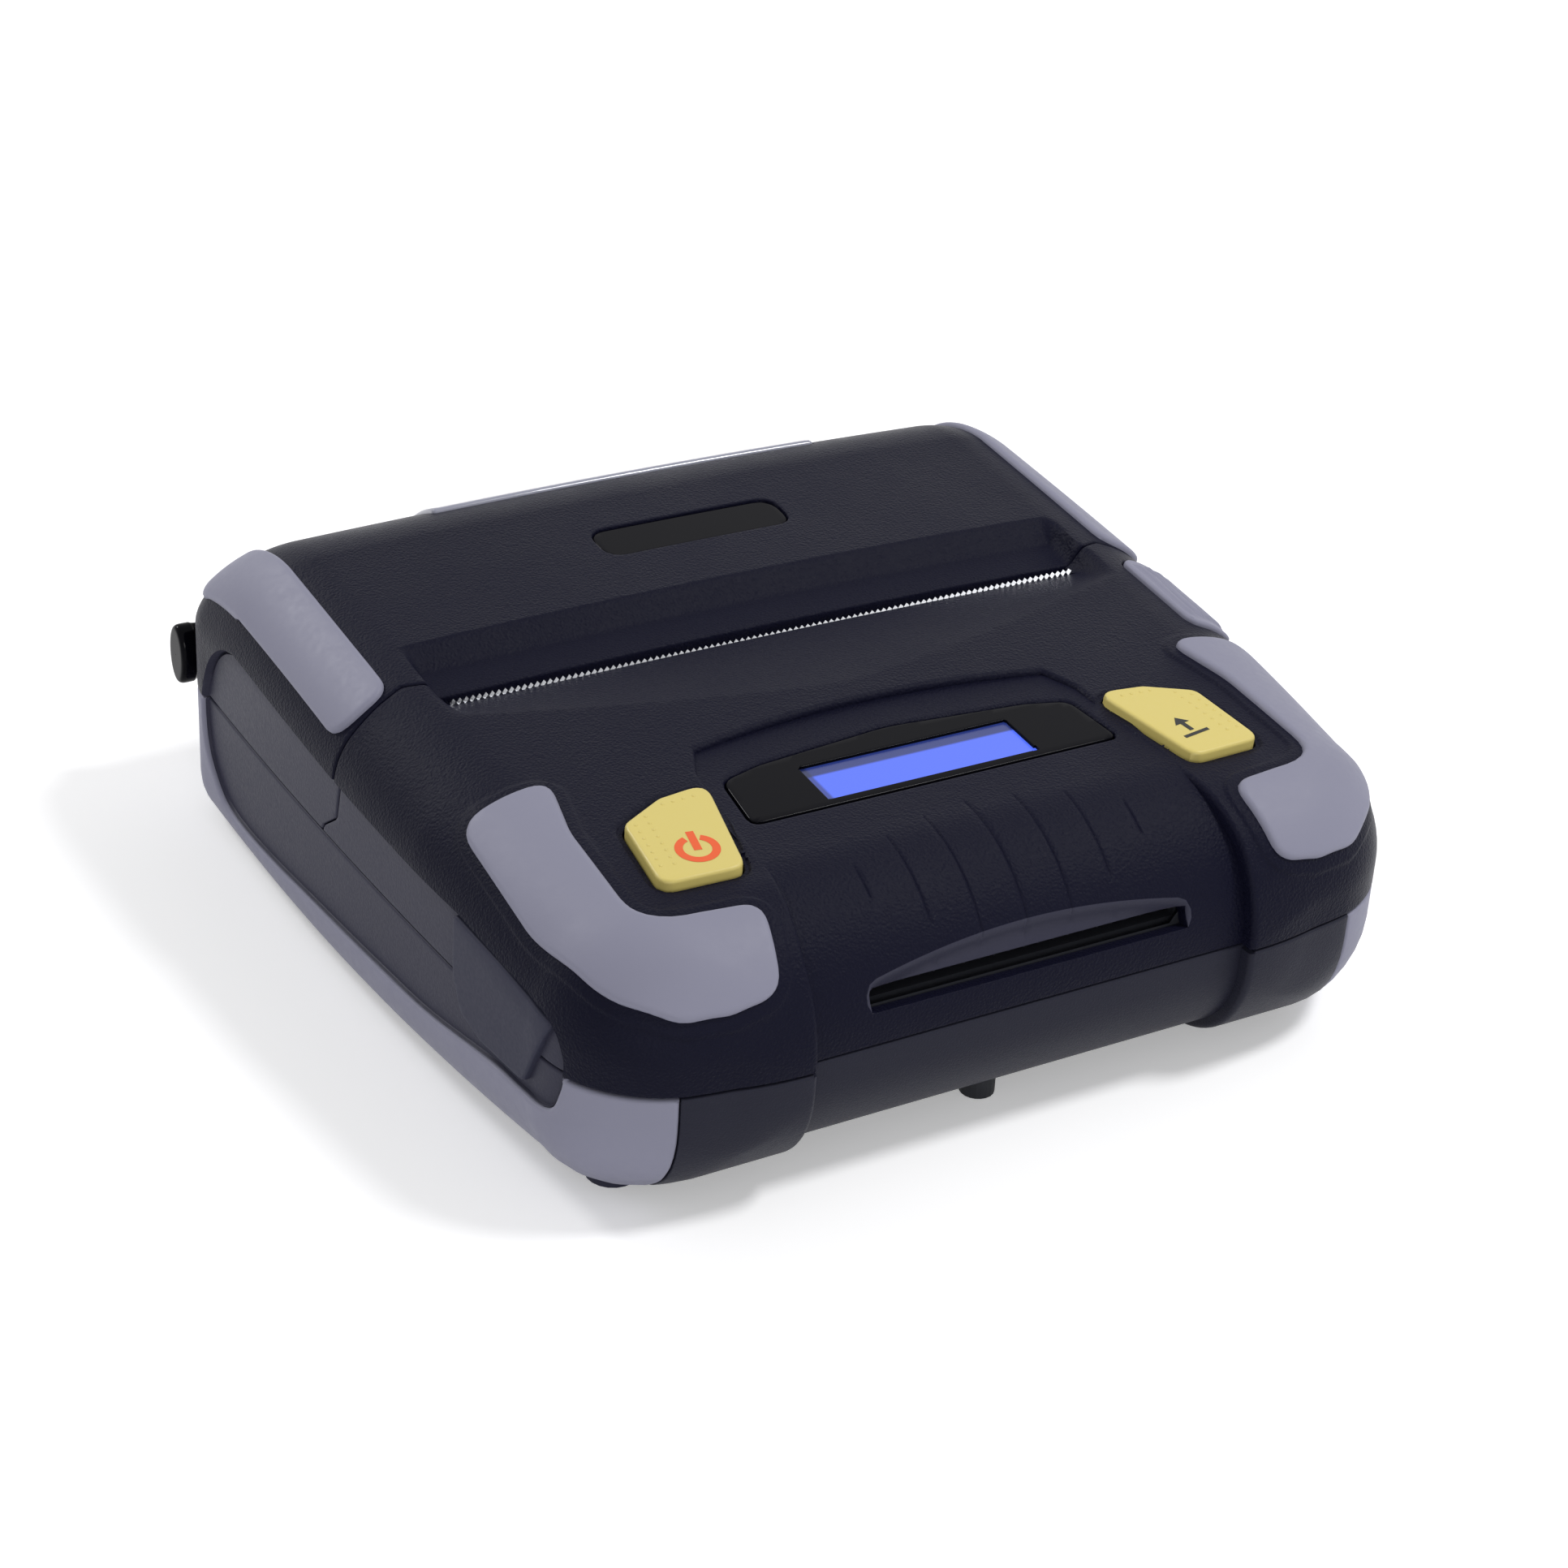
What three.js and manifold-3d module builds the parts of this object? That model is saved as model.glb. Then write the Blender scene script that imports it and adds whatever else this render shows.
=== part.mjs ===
// Portable receipt printer with a hinged paper cover, front card slot and rubber bumpers.
// Millimetres, +Z up, front towards -Y. The origin is under the middle of the case, on the table.

import * as THREE from 'three';
import { mergeVertices } from 'three/addons/utils/BufferGeometryUtils.js';
import Module from 'manifold-3d';

const wasm = await Module();
wasm.setup();

// Shared clearances and wall sizes

const overrun = 12;        // how far every cutting shape runs past what it cuts
const seam = 0.3;          // visible joint between two fitted pieces
const running = 0.35;      // gap around pieces that move
const wall = 2.6;          // moulded case wall
const rib = 1.6;           // inner walls of the case
const weld = 0.0001;       // distance at which two mesh corners count as one
const crumb = 1;           // cubic millimetres below which a cut-off chip is dropped
const arcSteps = 5;        // straight pieces in one rounded outline corner
const roundSteps = 20;     // straight pieces in a full turned circle
const fineSteps = 28;
const leastMitreShare = 0.5;   // limits how far a sharp corner moves when an outline grows

// Outer case

const body = {
  frontY: -77.8, rearY: 77.5,
  floorZ: 0.8, partingZ: 23.7, waistZ: 35.2,
  frontRollY: -57.8, frontRollZ: 26.4, frontRollRadius: 20,
  crownY: 49.5, crownZ: 26.3, rearRollRadius: 28,
  underFrontY: -57.9, underFrontZ: 20.7, underFrontRadius: 19.9,
  underRearY: 62.5, underRearZ: 15.8, underRearRadius: 15,
  widestHalf: 77.8, widestY: 42.5, barrelDrop: 6.13, barrelSpan: 120,
  frontCornerX: 58.7, frontCornerY: -61.5, frontCornerRadius: 14.5, bowStartX: 39,
  rearCornerY: 62.5, rearCornerRadius: 15,
  sideRoll: 18, crown: 1, underRoll: 6,
};
const waistShare = 0.738;      // height of the widest line where the case is low
const underRollShare = 0.35;   // lower roll on the short end sections

const bodySteps = { frontRoll: 7, middle: 4, rearRoll: 6, underRoll: 3, sideRoll: 5, crown: 2 };

// The lowered band that runs over the front between the two shoulders

const band = {
  archY: -21.9, archCornerX: 31.5, archCornerY: -25.2, kneeX: 34.1, kneeY: -31,
  lensEndX: 36.1, lensEndY: -57.7, sideX: 38.3, sideY: -72,
  archDrop: 1.2, rollDrop: 0.5,
  rollY: -53.2, rollRadius: 22,
  underY: -57.2, underZ: 20, underRadius: 18, underEndY: 60,
};

// The long recess along each side and its flat panel

const sideRecess = {
  depth: 1.2,
  topBack: [55, 34.9], topFront: [-64, 36.2], noseTop: [-68.6, 32], noseLow: [-69.4, 27.5],
  lowFront: [-63.5, 19.4], lowA: [-51.5, 17.4], lowB: [-37.5, 14.9], lowC: [-19.5, 11.6],
  lowD: [5.8, 8.2], lowE: [29, 6], lowBack: [56, 4], heelLow: [65.5, 9.5], heel: [69.4, 19.5],
  heelTop: [65.8, 30],
};

// The dip in front of the paper outlet, and the step up to the cover behind it

const dip = {
  halfWidth: 59.2, frontY: -17, quarterX: 30, quarterY: -12, endY: -2.5,
  tearY: 6, tearZ: 47.4, lipY: 9.3, lipZ: 47.5, stepLowY: 15.3, stepLowZ: 48.6, stepTopY: 17,
};

// Where the cover meets the front of the case, seen from the side

const joint = { footY: 14.5, kneeY: 8.8, kneeZ: 28.5, waistY: 7.3, topY: 8 };

// Rubber bumpers

const lowerBumper = { frontX: 59.3, rearX: 60, depth: 1.6, underZ: 2.4 };
const frontBumper = {
  proud: 1.3, depth: 0.9,
  corners: {
    backInner: [56.4, -25.1], backOuter: [72.6, -25], frontOuter: [69.6, -69],
    frontBow: [59.5, -76], toeFront: [42, -76.2], toeBack: [41.2, -62.7], elbow: [60.6, -62.2],
  },
  radii: { backInner: 3.5, backOuter: 5, frontOuter: 4, frontBow: 7, toe: 3.5, toeBack: 3, elbow: 8 },
};
const coverBumper = { proud: 1, depth: 0.9, innerX: 66.6, outerX: 75.6, frontY: 8.9, lowZ: 41, corner: 4 };

// Display

const lens = {
  halfWidth: 32.6, frontY: -45.6, sideX: 31.2, sideY: -35.5, backY: -30.1, thickness: 1.6,
  frontCorner: 1.5, backCorner: 6,
};
const display = { halfWidth: 22.5, frontY: -46.5, backY: -32, thickness: 3.4, flange: 1.4, flangeThickness: 1 };

// Round-cornered buttons beside the display, given for the right-hand one

const button = {
  corners: {
    innerBack: [34.4, -33.9], back: [46.5, -33.4], outerBack: [51.6, -40],
    outerFront: [53.2, -54.6], innerFront: [38.4, -55.3],
  },
  corner: 2.6, proud: 1.2, flange: 0.9, flangeThickness: 1, travel: 0.8, skirt: 2.4,
};
const keypad = {
  z: 37.6, thickness: 1.2, halfWidth: button.corners.outerFront[0] + 2 * button.flange, frontY: -61, backY: -29.5,
  switchHalf: 3, capRadius: 1.6,
};

// Card slot and the reader behind it

const card = {
  halfWidth: 27.9, lowZ: 29.1, highZ: 33.7, archZ: 34.3, archEndZ: 31.8, depthY: -30,
  browDepth: 2.2, browCorner: 2,
};
const reader = { halfWidth: 31, frontY: -70.5, backY: -22, lowZ: 26.2, highZ: 36.9, headHalf: 5, headZ: 25.2 };

// Grooves cut in the front roll

const groove = { count: 7, pitch: 7.9, middleY: -63, reach: 9.8, width: 0.5, depth: 0.4 };
const grooveSpreadShare = 3.5;

// Cover parts

const coverWindow = { halfWidth: 37, frontY: 58.9, lowZ: 34, thickness: 1.8, ledge: 1.6, sink: 0.5 };
const badge = { halfWidth: 17.5, frontY: 31.3, backY: 40, thickness: 1, corner: 3.4, sink: 0.4 };
const hinge = {
  y: 76, z: 25.7, pinRadius: 1.2, barrelRadius: 2.8, holeGap: 0.25, baseInnerX: 38, coverWidth: 6, baseWidth: 8,
};
const post = {
  headHalfZ: 5.5, headHalfY: 3.4, neckHalfY: 1.7, headInnerX: 74.6, headOuterX: 77.4, rootX: 65, round: 1.1,
};
const ear = { innerX: 64, radius: Math.hypot(post.headHalfZ, post.headHalfY) };

// Print mechanism, measured inwards from the side of the case: latch arm, gears, bearing, roller

const latchRoom = 13.4;    // from the side of the case to the inner face of the latch arm
const gearRoom = 2.8;      // between latch arm and gears
const outletRoom = 2.2;    // paper outlet wider than the head, on each side

const latch = {
  y: 16.4, z: 26, rodRadius: 1.8, armX: body.widestHalf - latchRoom, armWidth: 2.6, armDepth: 3.4, beak: 2.4, gap: 0.5,
  leverY: -1.5, leverZ: 30, leverHeight: 3,
};
const gearWidth = 3;
const gear = {
  module: 0.6, width: gearWidth, x: latch.armX - gearWidth - gearRoom, platenTeeth: 18, idlerTeeth: 26, pinionTeeth: 10,
  play: 0.16,
};
const toothShares = { root: 1.2, tip: 0.9, rootHalf: 1.5, tipHalf: 0.55 };
const gearLayout = { idlerTurn: 225, pinionTurn: 259 };
const bearingWidth = 1.7;
const bearing = { inner: gear.x - 2 * seam - bearingWidth, width: bearingWidth, radius: 3.7, gap: 0.2 };
const bracketEar = { halfY: 4.6, lowZ: 33.6 };
const rollerHalf = bearing.inner - 3 * seam;
const rollerRadius = 6;
const printHead = { y: 8.4, thickness: 1.1, halfLength: rollerHalf + 2 * seam, lowZ: 31, highZ: 43 };
const paperGap = 0.25;
const platen = {
  y: printHead.y + printHead.thickness / 2 + paperGap + rollerRadius, z: 38.4, radius: rollerRadius,
  halfLength: rollerHalf, shaftRadius: 2.2, shaftEnd: latch.armX + latch.armWidth + 2 * seam,
};
const heatsink = { thickness: 3.4, finDepth: 1.2, fins: 9, finShare: 0.5 };
const headSpring = { radius: 2.6, wire: 0.7, length: 3.6, turns: 3, steps: 8, x: 32, z: 36.5 };
const headBracket = { thickness: 1.6, legX: 22, legWidth: 8 };
const outlet = { halfWidth: printHead.halfLength + outletRoom, frontY: 4.6 };
const tearBar = {
  halfLength: outlet.halfWidth - seam, thickness: 1.1, height: 4.2, toothPitch: 2.2, toothHeight: 0.9,
};
const motor = { radius: 10, length: 17.5, flange: 1, shaftRadius: 1 };
const gearPlate = { thickness: 1, lowZ: 9, highZ: 40, frontY: -6.4, backY: 13.6 };
const idlerPin = { radius: 1.5 };

// Release button on the right shoulder

const release = {
  innerX: 65.2, outerX: 74.4, frontY: -19.6, backY: 2.4, lowZ: 39.5, corner: 2.6, proud: 0.7, travel: 2, stem: 1.6,
  ribs: 4, ribWidth: 1, ribHeight: 0.5,
};

// Paper trough

const trough = { y: 45.3, radius: 21.8, thickness: 1.2, halfWidth: 57.6, rimZ: 31 };
const troughZ = band.underZ - band.underRadius + wall + seam + trough.thickness + trough.radius;

// Electronics and power

const chip = { size: 12, height: 1.6, spacing: 26, edge: 6 };
const port = {
  innerX: 64.4, outerX: 73.2, frontY: -58, backY: -38, highZ: 32, jackRadius: 2.6, usbHalf: 4, usbHeight: 3.2,
  depth: 7,
};
const flap = {
  backTop: [-32.8, 34.6], frontTop: [-65.2, 35.6], frontLow: [-56.8, 20.2], low: [-42, 17.6],
  heel: [-34.6, 20.4], backLow: [-32.8, 24.5], corner: 1.5, plugDepth: 2, plugInset: 1.2,
};
const battery = { halfWidth: 36, frontY: -57, backY: 3, highZ: 17, edge: 2, tab: 1.3, tabHalf: 8 };
const batteryLatch = {
  halfWidth: 9, frontY: -64.3, backY: -58.5, lowZ: 8.6, thickness: 2, nubY: -62.8, nubRadius: 2.8, nubZ: 0.2,
  tongue: 2, travel: 2.2,
};
const contact = { count: 4, pitch: 6, width: 2, depth: 2.5, thickness: 0.6 };

// Fasteners, the board between them, and feet

const boardRoom = 3;       // between the board's edge and a screw boss

const screw = {
  x: 60.5, frontY: -46, backY: -18, headRadius: 2.8, headHeight: 2.2, shankRadius: 1.3, topZ: 33, boss: 3.5,
  floor: 2.4,
};
const mainBoard = { z: 22.2, thickness: 1.6, halfWidth: screw.x - screw.boss - boardRoom, frontY: -62, backY: -9 };
const foot = { x: 60.5, frontY: -57.5, backY: 58, radius: 4.2, seat: 0.8 };

// Mesh and boolean helpers

function toSolid(geometry) {
  const bare = geometry.clone();
  bare.deleteAttribute('normal');
  bare.deleteAttribute('uv');
  const merged = mergeVertices(bare, weld);
  const index = merged.index.array;
  const kept = [];
  for (let i = 0; i < index.length; i += 3) {
    const [a, b, c] = [index[i], index[i + 1], index[i + 2]];
    if (a !== b && b !== c && c !== a) kept.push(a, b, c);
  }
  const vertProperties = new Float32Array(merged.attributes.position.array);
  const triVerts = new Uint32Array(kept);
  return new wasm.Manifold(new wasm.Mesh({ numProp: 3, vertProperties, triVerts }));
}

function toGeometry(solid) {
  const mesh = solid.getMesh();
  const geometry = new THREE.BufferGeometry();
  geometry.setAttribute('position', new THREE.BufferAttribute(mesh.vertProperties, 3));
  geometry.setIndex(new THREE.BufferAttribute(mesh.triVerts, 1));
  return geometry;
}

const join = (first, ...rest) => rest.reduce((sum, next) => sum.add(next), first);
const cut = (first, ...rest) => rest.reduce((left, next) => left.subtract(next), first);
const common = (first, ...rest) => rest.reduce((left, next) => left.intersect(next), first);

// Drops the thin chips that near-parallel cuts leave behind
function tidy(solid) {
  const pieces = solid.decompose().filter((piece) => piece.volume() > crumb);
  return join(...pieces);
}

// Solids drawn in one plane and pulled along an axis

const vector = (x, y, z) => new THREE.Vector3(x, y, z);
const towardX = new THREE.Matrix4().makeBasis(vector(0, 1, 0), vector(0, 0, 1), vector(1, 0, 0));
const towardY = new THREE.Matrix4().makeBasis(vector(1, 0, 0), vector(0, 0, 1), vector(0, -1, 0));

function pulled(shape, length, curveSegments = arcSteps) {
  return new THREE.ExtrudeGeometry(shape, { depth: length, bevelEnabled: false, curveSegments });
}

function prismZ(shape, low, high) {
  return toSolid(pulled(shape, high - low).translate(0, 0, low));
}

// The outline is drawn in Y and Z
function prismX(shape, from, to) {
  return toSolid(pulled(shape, to - from).applyMatrix4(towardX).translate(from, 0, 0));
}

// The outline is drawn in X and Z
function prismY(shape, from, to) {
  return toSolid(pulled(shape, to - from).applyMatrix4(towardY).translate(0, to, 0));
}

function box(x0, x1, y0, y1, z0, z1) {
  const geometry = new THREE.BoxGeometry(x1 - x0, y1 - y0, z1 - z0);
  return toSolid(geometry.translate((x0 + x1) / 2, (y0 + y1) / 2, (z0 + z1) / 2));
}

function rodX(radius, from, to, y, z, steps = roundSteps) {
  const geometry = new THREE.CylinderGeometry(radius, radius, to - from, steps);
  return toSolid(geometry.rotateZ(Math.PI / 2).translate((from + to) / 2, y, z));
}

function rodZ(radius, from, to, x, y, steps = roundSteps) {
  const geometry = new THREE.CylinderGeometry(radius, radius, to - from, steps);
  return toSolid(geometry.rotateX(Math.PI / 2).translate(x, y, (from + to) / 2));
}

// Outlines

function polygon(points) {
  return new THREE.Shape(points.map(([x, y]) => new THREE.Vector2(x, y)));
}

// Straight sides with each corner eased by its own radius
function roundedShape(points, radii) {
  const radiusAt = (i) => (Array.isArray(radii) ? radii[i] : radii);
  const at = (i) => new THREE.Vector2(...points[(i + points.length) % points.length]);
  const shape = new THREE.Shape();
  points.forEach((_, i) => {
    const here = at(i);
    const before = at(i - 1).sub(here);
    const after = at(i + 1).sub(here);
    const reach = Math.min(radiusAt(i), before.length() / 2, after.length() / 2);
    const start = before.setLength(reach).add(here);
    const end = after.setLength(reach).add(here);
    if (i === 0) shape.moveTo(start.x, start.y);
    else shape.lineTo(start.x, start.y);
    shape.quadraticCurveTo(here.x, here.y, end.x, end.y);
  });
  shape.closePath();
  return shape;
}

// The same outline moved outwards by a distance, corner by corner
function grownShape(shape, distance) {
  const points = shape.getPoints(arcSteps);
  if (points[0].distanceTo(points[points.length - 1]) < weld) points.pop();
  const turn = THREE.ShapeUtils.isClockWise(points) ? 1 : -1;
  const count = points.length;
  const moved = points.map((point, i) => {
    const back = point.clone().sub(points[(i + count - 1) % count]).normalize();
    const ahead = points[(i + 1) % count].clone().sub(point).normalize();
    const out = new THREE.Vector2(-(back.y + ahead.y), back.x + ahead.x).normalize();
    const mitre = Math.max(out.dot(new THREE.Vector2(-ahead.y, ahead.x)), leastMitreShare);
    return point.clone().addScaledVector(out, turn * distance / mitre);
  });
  return new THREE.Shape(moved);
}

// Copies to the other side of the printer

const mirrored = (solid) => solid.mirror([1, 0, 0]);
const onSide = (solid, side) => (side > 0 ? solid : mirrored(solid));

// The case as a row of rounded cross sections. A positive inset gives the same form further in.

const square = (value) => value * value;
const arcDrop = (radius, away) => Math.sqrt(Math.max(square(radius) - square(away), 0));

function deckZ(y) {
  const rise = (body.crownZ + body.rearRollRadius - body.frontRollZ - body.frontRollRadius)
    / (body.crownY - body.frontRollY);
  return body.frontRollZ + body.frontRollRadius + rise * (y - body.frontRollY);
}

function topZ(y, inset) {
  if (y < body.frontRollY) {
    return body.frontRollZ + arcDrop(body.frontRollRadius - inset, y - body.frontRollY);
  }
  if (y > body.crownY) {
    return body.crownZ + arcDrop(body.rearRollRadius - inset, y - body.crownY);
  }
  return deckZ(y) - inset;
}

function bottomZ(y, inset) {
  if (y < body.underFrontY) {
    return body.underFrontZ - arcDrop(body.underFrontRadius - inset, y - body.underFrontY);
  }
  if (y > body.underRearY) {
    return body.underRearZ - arcDrop(body.underRearRadius - inset, y - body.underRearY);
  }
  return body.floorZ + inset;
}

const sideX = (y) => body.widestHalf - body.barrelDrop * square((y - body.widestY) / body.barrelSpan);

function halfWidth(y, inset) {
  const cornerFrontY = body.frontCornerY - body.frontCornerRadius;
  if (y < cornerFrontY + inset) {
    const share = (y - body.frontY - inset) / (cornerFrontY - body.frontY);
    return body.bowStartX + (body.frontCornerX - body.bowStartX) * Math.sqrt(Math.max(share, 0));
  }
  if (y < body.frontCornerY) {
    return body.frontCornerX + arcDrop(body.frontCornerRadius - inset, y - body.frontCornerY);
  }
  if (y > body.rearCornerY) {
    const centreX = sideX(body.rearCornerY) - body.rearCornerRadius;
    return centreX + arcDrop(body.rearCornerRadius - inset, y - body.rearCornerY);
  }
  return sideX(y) - inset;
}

function halfSection(y, inset) {
  const [half, top, low] = [halfWidth(y, inset), topZ(y, inset), bottomZ(y, inset)];
  const waist = Math.min(body.waistZ, low + waistShare * (top - low));
  const under = Math.min(Math.max(body.underRoll - inset, inset), underRollShare * (top - low));
  const roll = body.sideRoll - inset;
  const shoulderZ = top - body.crown;
  const points = [[0, low]];
  for (let i = 0; i <= bodySteps.underRoll; i += 1) {
    const angle = (Math.PI / 2) * (i / bodySteps.underRoll);
    points.push([half - under * (1 - Math.sin(angle)), low + under * (1 - Math.cos(angle))]);
  }
  for (let i = 0; i <= bodySteps.sideRoll; i += 1) {
    const angle = (Math.PI / 2) * (i / bodySteps.sideRoll);
    points.push([half - roll * (1 - Math.cos(angle)), waist + (shoulderZ - waist) * Math.sin(angle)]);
  }
  for (let i = 1; i <= bodySteps.crown; i += 1) {
    const share = 1 - i / bodySteps.crown;
    points.push([(half - roll) * share, top - body.crown * square(share)]);
  }
  return points;
}

function sectionPlaces(inset) {
  const places = [];
  const front = body.frontRollRadius - inset;
  const rear = body.rearRollRadius - inset;
  for (let i = 0; i < bodySteps.frontRoll; i += 1) {
    places.push(body.frontRollY - front * Math.cos((Math.PI / 2) * (i / bodySteps.frontRoll)));
  }
  for (let i = 0; i < bodySteps.middle; i += 1) {
    places.push(body.frontRollY + (body.crownY - body.frontRollY) * (i / bodySteps.middle));
  }
  for (let i = 0; i <= bodySteps.rearRoll; i += 1) {
    places.push(body.crownY + rear * Math.sin((Math.PI / 2) * (i / bodySteps.rearRoll)));
  }
  return places;
}

// Skins a row of closed rings that all have the same number of points
function loft(rings) {
  const size = rings[0].length;
  const positions = rings.flat().flatMap((point) => [point.x, point.y, point.z]);
  const index = [];
  for (let ring = 0; ring + 1 < rings.length; ring += 1) {
    for (let i = 0; i < size; i += 1) {
      const here = ring * size + i;
      const next = ring * size + ((i + 1) % size);
      index.push(here, here + size, next, next, here + size, next + size);
    }
  }
  const last = (rings.length - 1) * size;
  for (let i = 1; i + 1 < size; i += 1) {
    index.push(0, i, i + 1);
    index.push(last, last + i + 1, last + i);
  }
  const geometry = new THREE.BufferGeometry();
  geometry.setAttribute('position', new THREE.Float32BufferAttribute(positions, 3));
  geometry.setIndex(index);
  return toSolid(geometry);
}

const hulls = new Map();

function hull(inset = 0) {
  if (!hulls.has(inset)) {
    const rings = sectionPlaces(inset).map((y) => {
      const right = halfSection(y, inset);
      const left = right.slice(1, -1).reverse().map(([x, z]) => [-x, z]);
      return [...right, ...left].map(([x, z]) => vector(x, y, z));
    });
    hulls.set(inset, loft(rings));
  }
  return hulls.get(inset);
}

// Surfaces cut into the case

const farX = body.widestHalf + overrun;
const farY = body.rearY + overrun;
const highZ = body.crownZ + body.rearRollRadius + overrun;

// Height of the lowered band's top line
function bandZ(y) {
  const backZ = deckZ(band.archY) - band.archDrop;
  const frontZ = deckZ(band.rollY) - band.rollDrop;
  return frontZ + (backZ - frontZ) * (y - band.rollY) / (band.archY - band.rollY);
}

function bandPlan(grow) {
  const right = [
    [band.archCornerX + grow, band.archCornerY + grow], [band.kneeX + grow, band.kneeY],
    [band.lensEndX + grow, band.lensEndY], [band.sideX + grow, band.sideY],
    [band.sideX + grow, body.frontY - overrun],
  ];
  const left = right.map(([x, y]) => [-x, y]).reverse();
  const shape = new THREE.Shape();
  shape.moveTo(-band.archCornerX - grow, band.archCornerY + grow);
  shape.quadraticCurveTo(0, 2 * band.archY - band.archCornerY + grow, ...right[0]);
  right.slice(1).forEach(([x, y]) => shape.lineTo(x, y));
  left.slice(0, -1).forEach(([x, y]) => shape.lineTo(x, y));
  shape.closePath();
  return prismZ(shape, body.frontRollZ, highZ);
}

// Everything outside of the lowered band's own surface
function bandCutter(grow) {
  const frontZ = bandZ(band.rollY) - band.rollRadius;
  const radius = band.rollRadius - grow;
  const underRadius = band.underRadius - grow;
  const shape = new THREE.Shape();
  shape.moveTo(band.archY + overrun, bandZ(band.archY + overrun) - grow);
  shape.lineTo(band.rollY, bandZ(band.rollY) - grow);
  shape.absarc(band.rollY, frontZ, radius, Math.PI / 2, Math.PI, false);
  shape.absarc(band.underY, band.underZ, underRadius, Math.PI, Math.PI * 1.5, false);
  shape.lineTo(band.underEndY + grow, band.underZ - underRadius);
  shape.lineTo(band.underEndY + grow, -overrun);
  shape.lineTo(body.frontY - overrun, -overrun);
  shape.lineTo(body.frontY - overrun, highZ);
  shape.lineTo(band.archY + overrun, highZ);
  shape.closePath();
  const half = band.sideX + grow;
  const profile = prismX(shape, -farX, farX);
  const lowPart = box(-half, half, -farY, farY, -overrun, body.frontRollZ);
  return common(profile, join(bandPlan(grow), lowPart));
}

function recessOutline() {
  const r = sideRecess;
  const lower = [r.noseLow, r.lowFront, r.lowA, r.lowB, r.lowC, r.lowD, r.lowE, r.lowBack, r.heelLow, r.heel,
    r.heelTop, r.topBack];
  const shape = new THREE.Shape();
  shape.moveTo(...r.topFront);
  shape.quadraticCurveTo(...r.noseTop, ...r.noseLow);
  shape.splineThru(lower.slice(1).map(([y, z]) => new THREE.Vector2(y, z)));
  shape.closePath();
  return shape;
}

const recessShape = recessOutline();

function recessCutter(side) {
  return onSide(cut(prismX(recessShape, 0, farX), hull(sideRecess.depth)), side);
}

function dipPlan(grow) {
  const half = dip.halfWidth + grow;
  const shape = new THREE.Shape();
  shape.moveTo(-half, farY);
  shape.lineTo(-half, dip.endY - grow);
  shape.quadraticCurveTo(-dip.quarterX, 2 * dip.quarterY - dip.frontY - grow, 0, dip.frontY - grow);
  shape.quadraticCurveTo(dip.quarterX, 2 * dip.quarterY - dip.frontY - grow, half, dip.endY - grow);
  shape.lineTo(half, farY);
  shape.closePath();
  return prismZ(shape, body.partingZ, highZ);
}

function dipCutter(grow) {
  const profile = polygon([
    [dip.frontY - grow, deckZ(dip.frontY) - grow], [dip.tearY, dip.tearZ - grow],
    [dip.lipY, dip.lipZ - grow], [dip.stepLowY + grow, dip.stepLowZ - grow],
    [dip.stepTopY + grow, deckZ(dip.stepTopY) + seam], [dip.stepTopY + grow, highZ],
    [dip.frontY - grow, highZ],
  ]);
  return common(prismX(profile, -farX, farX), dipPlan(grow));
}

// The whole case skin, before it is divided

const outside = cut(hull(), bandCutter(0), dipCutter(0), recessCutter(1), recessCutter(-1));
const inside = cut(hull(wall), bandCutter(wall), dipCutter(wall));
const skin = cut(outside, inside);

// Blocks that divide the skin into base, front and cover

function coverSide(gap) {
  return prismX(polygon([
    [joint.footY + gap, body.partingZ - overrun], [joint.footY + gap, body.partingZ],
    [joint.kneeY + gap, joint.kneeZ], [joint.waistY + gap, body.waistZ],
    [joint.topY + gap, dip.lipZ], [joint.topY + gap, highZ], [farY, highZ],
    [farY, body.partingZ - overrun],
  ]), -farX, farX);
}

const aboveParting = (gap) => box(-farX, farX, -farY, farY, body.partingZ + gap, highZ);
const belowParting = box(-farX, farX, -farY, farY, -overrun, body.partingZ);

// Rubber bumpers and the seats they sit in

function shellLayer(proud, depth) {
  return cut(hull(-proud), hull(depth));
}

function lowerBumperZone(side, gap) {
  const front = box(lowerBumper.frontX - gap, farX, -farY, 0, lowerBumper.underZ - gap, body.partingZ - seam + gap);
  const rear = box(lowerBumper.rearX - gap, farX, 0, farY, lowerBumper.underZ - gap, body.partingZ - seam + gap);
  const opening = prismX(gap > 0 ? grownShape(recessShape, -gap) : recessShape, 0, farX);
  return onSide(cut(join(front, rear), opening), side);
}

function lowerBumperSolid(side) {
  return tidy(common(shellLayer(0, lowerBumper.depth), lowerBumperZone(side, 0)));
}

function lowerBumperSeat(side) {
  return common(shellLayer(overrun / 2, lowerBumper.depth + seam), lowerBumperZone(side, seam));
}

function frontBumperShape() {
  const { corners: c, radii: r } = frontBumper;
  return roundedShape(
    [c.backInner, c.backOuter, c.frontOuter, c.frontBow, c.toeFront, c.toeBack, c.elbow],
    [r.backInner, r.backOuter, r.frontOuter, r.frontBow, r.toe, r.toeBack, r.elbow],
  );
}

function coverBumperShape() {
  const c = coverBumper;
  return roundedShape([[c.innerX, farY], [c.innerX, c.frontY], [c.outerX, c.frontY], [c.outerX, farY]], c.corner);
}

function topBumper(shape, spec, lowZ, side) {
  return onSide(common(shellLayer(spec.proud, spec.depth), prismZ(shape, lowZ, highZ)), side);
}

function topBumperSeat(shape, spec, lowZ, side) {
  const block = prismZ(grownShape(shape, seam), lowZ - seam, highZ);
  return onSide(common(shellLayer(spec.proud + seam, spec.depth + seam), block), side);
}

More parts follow.
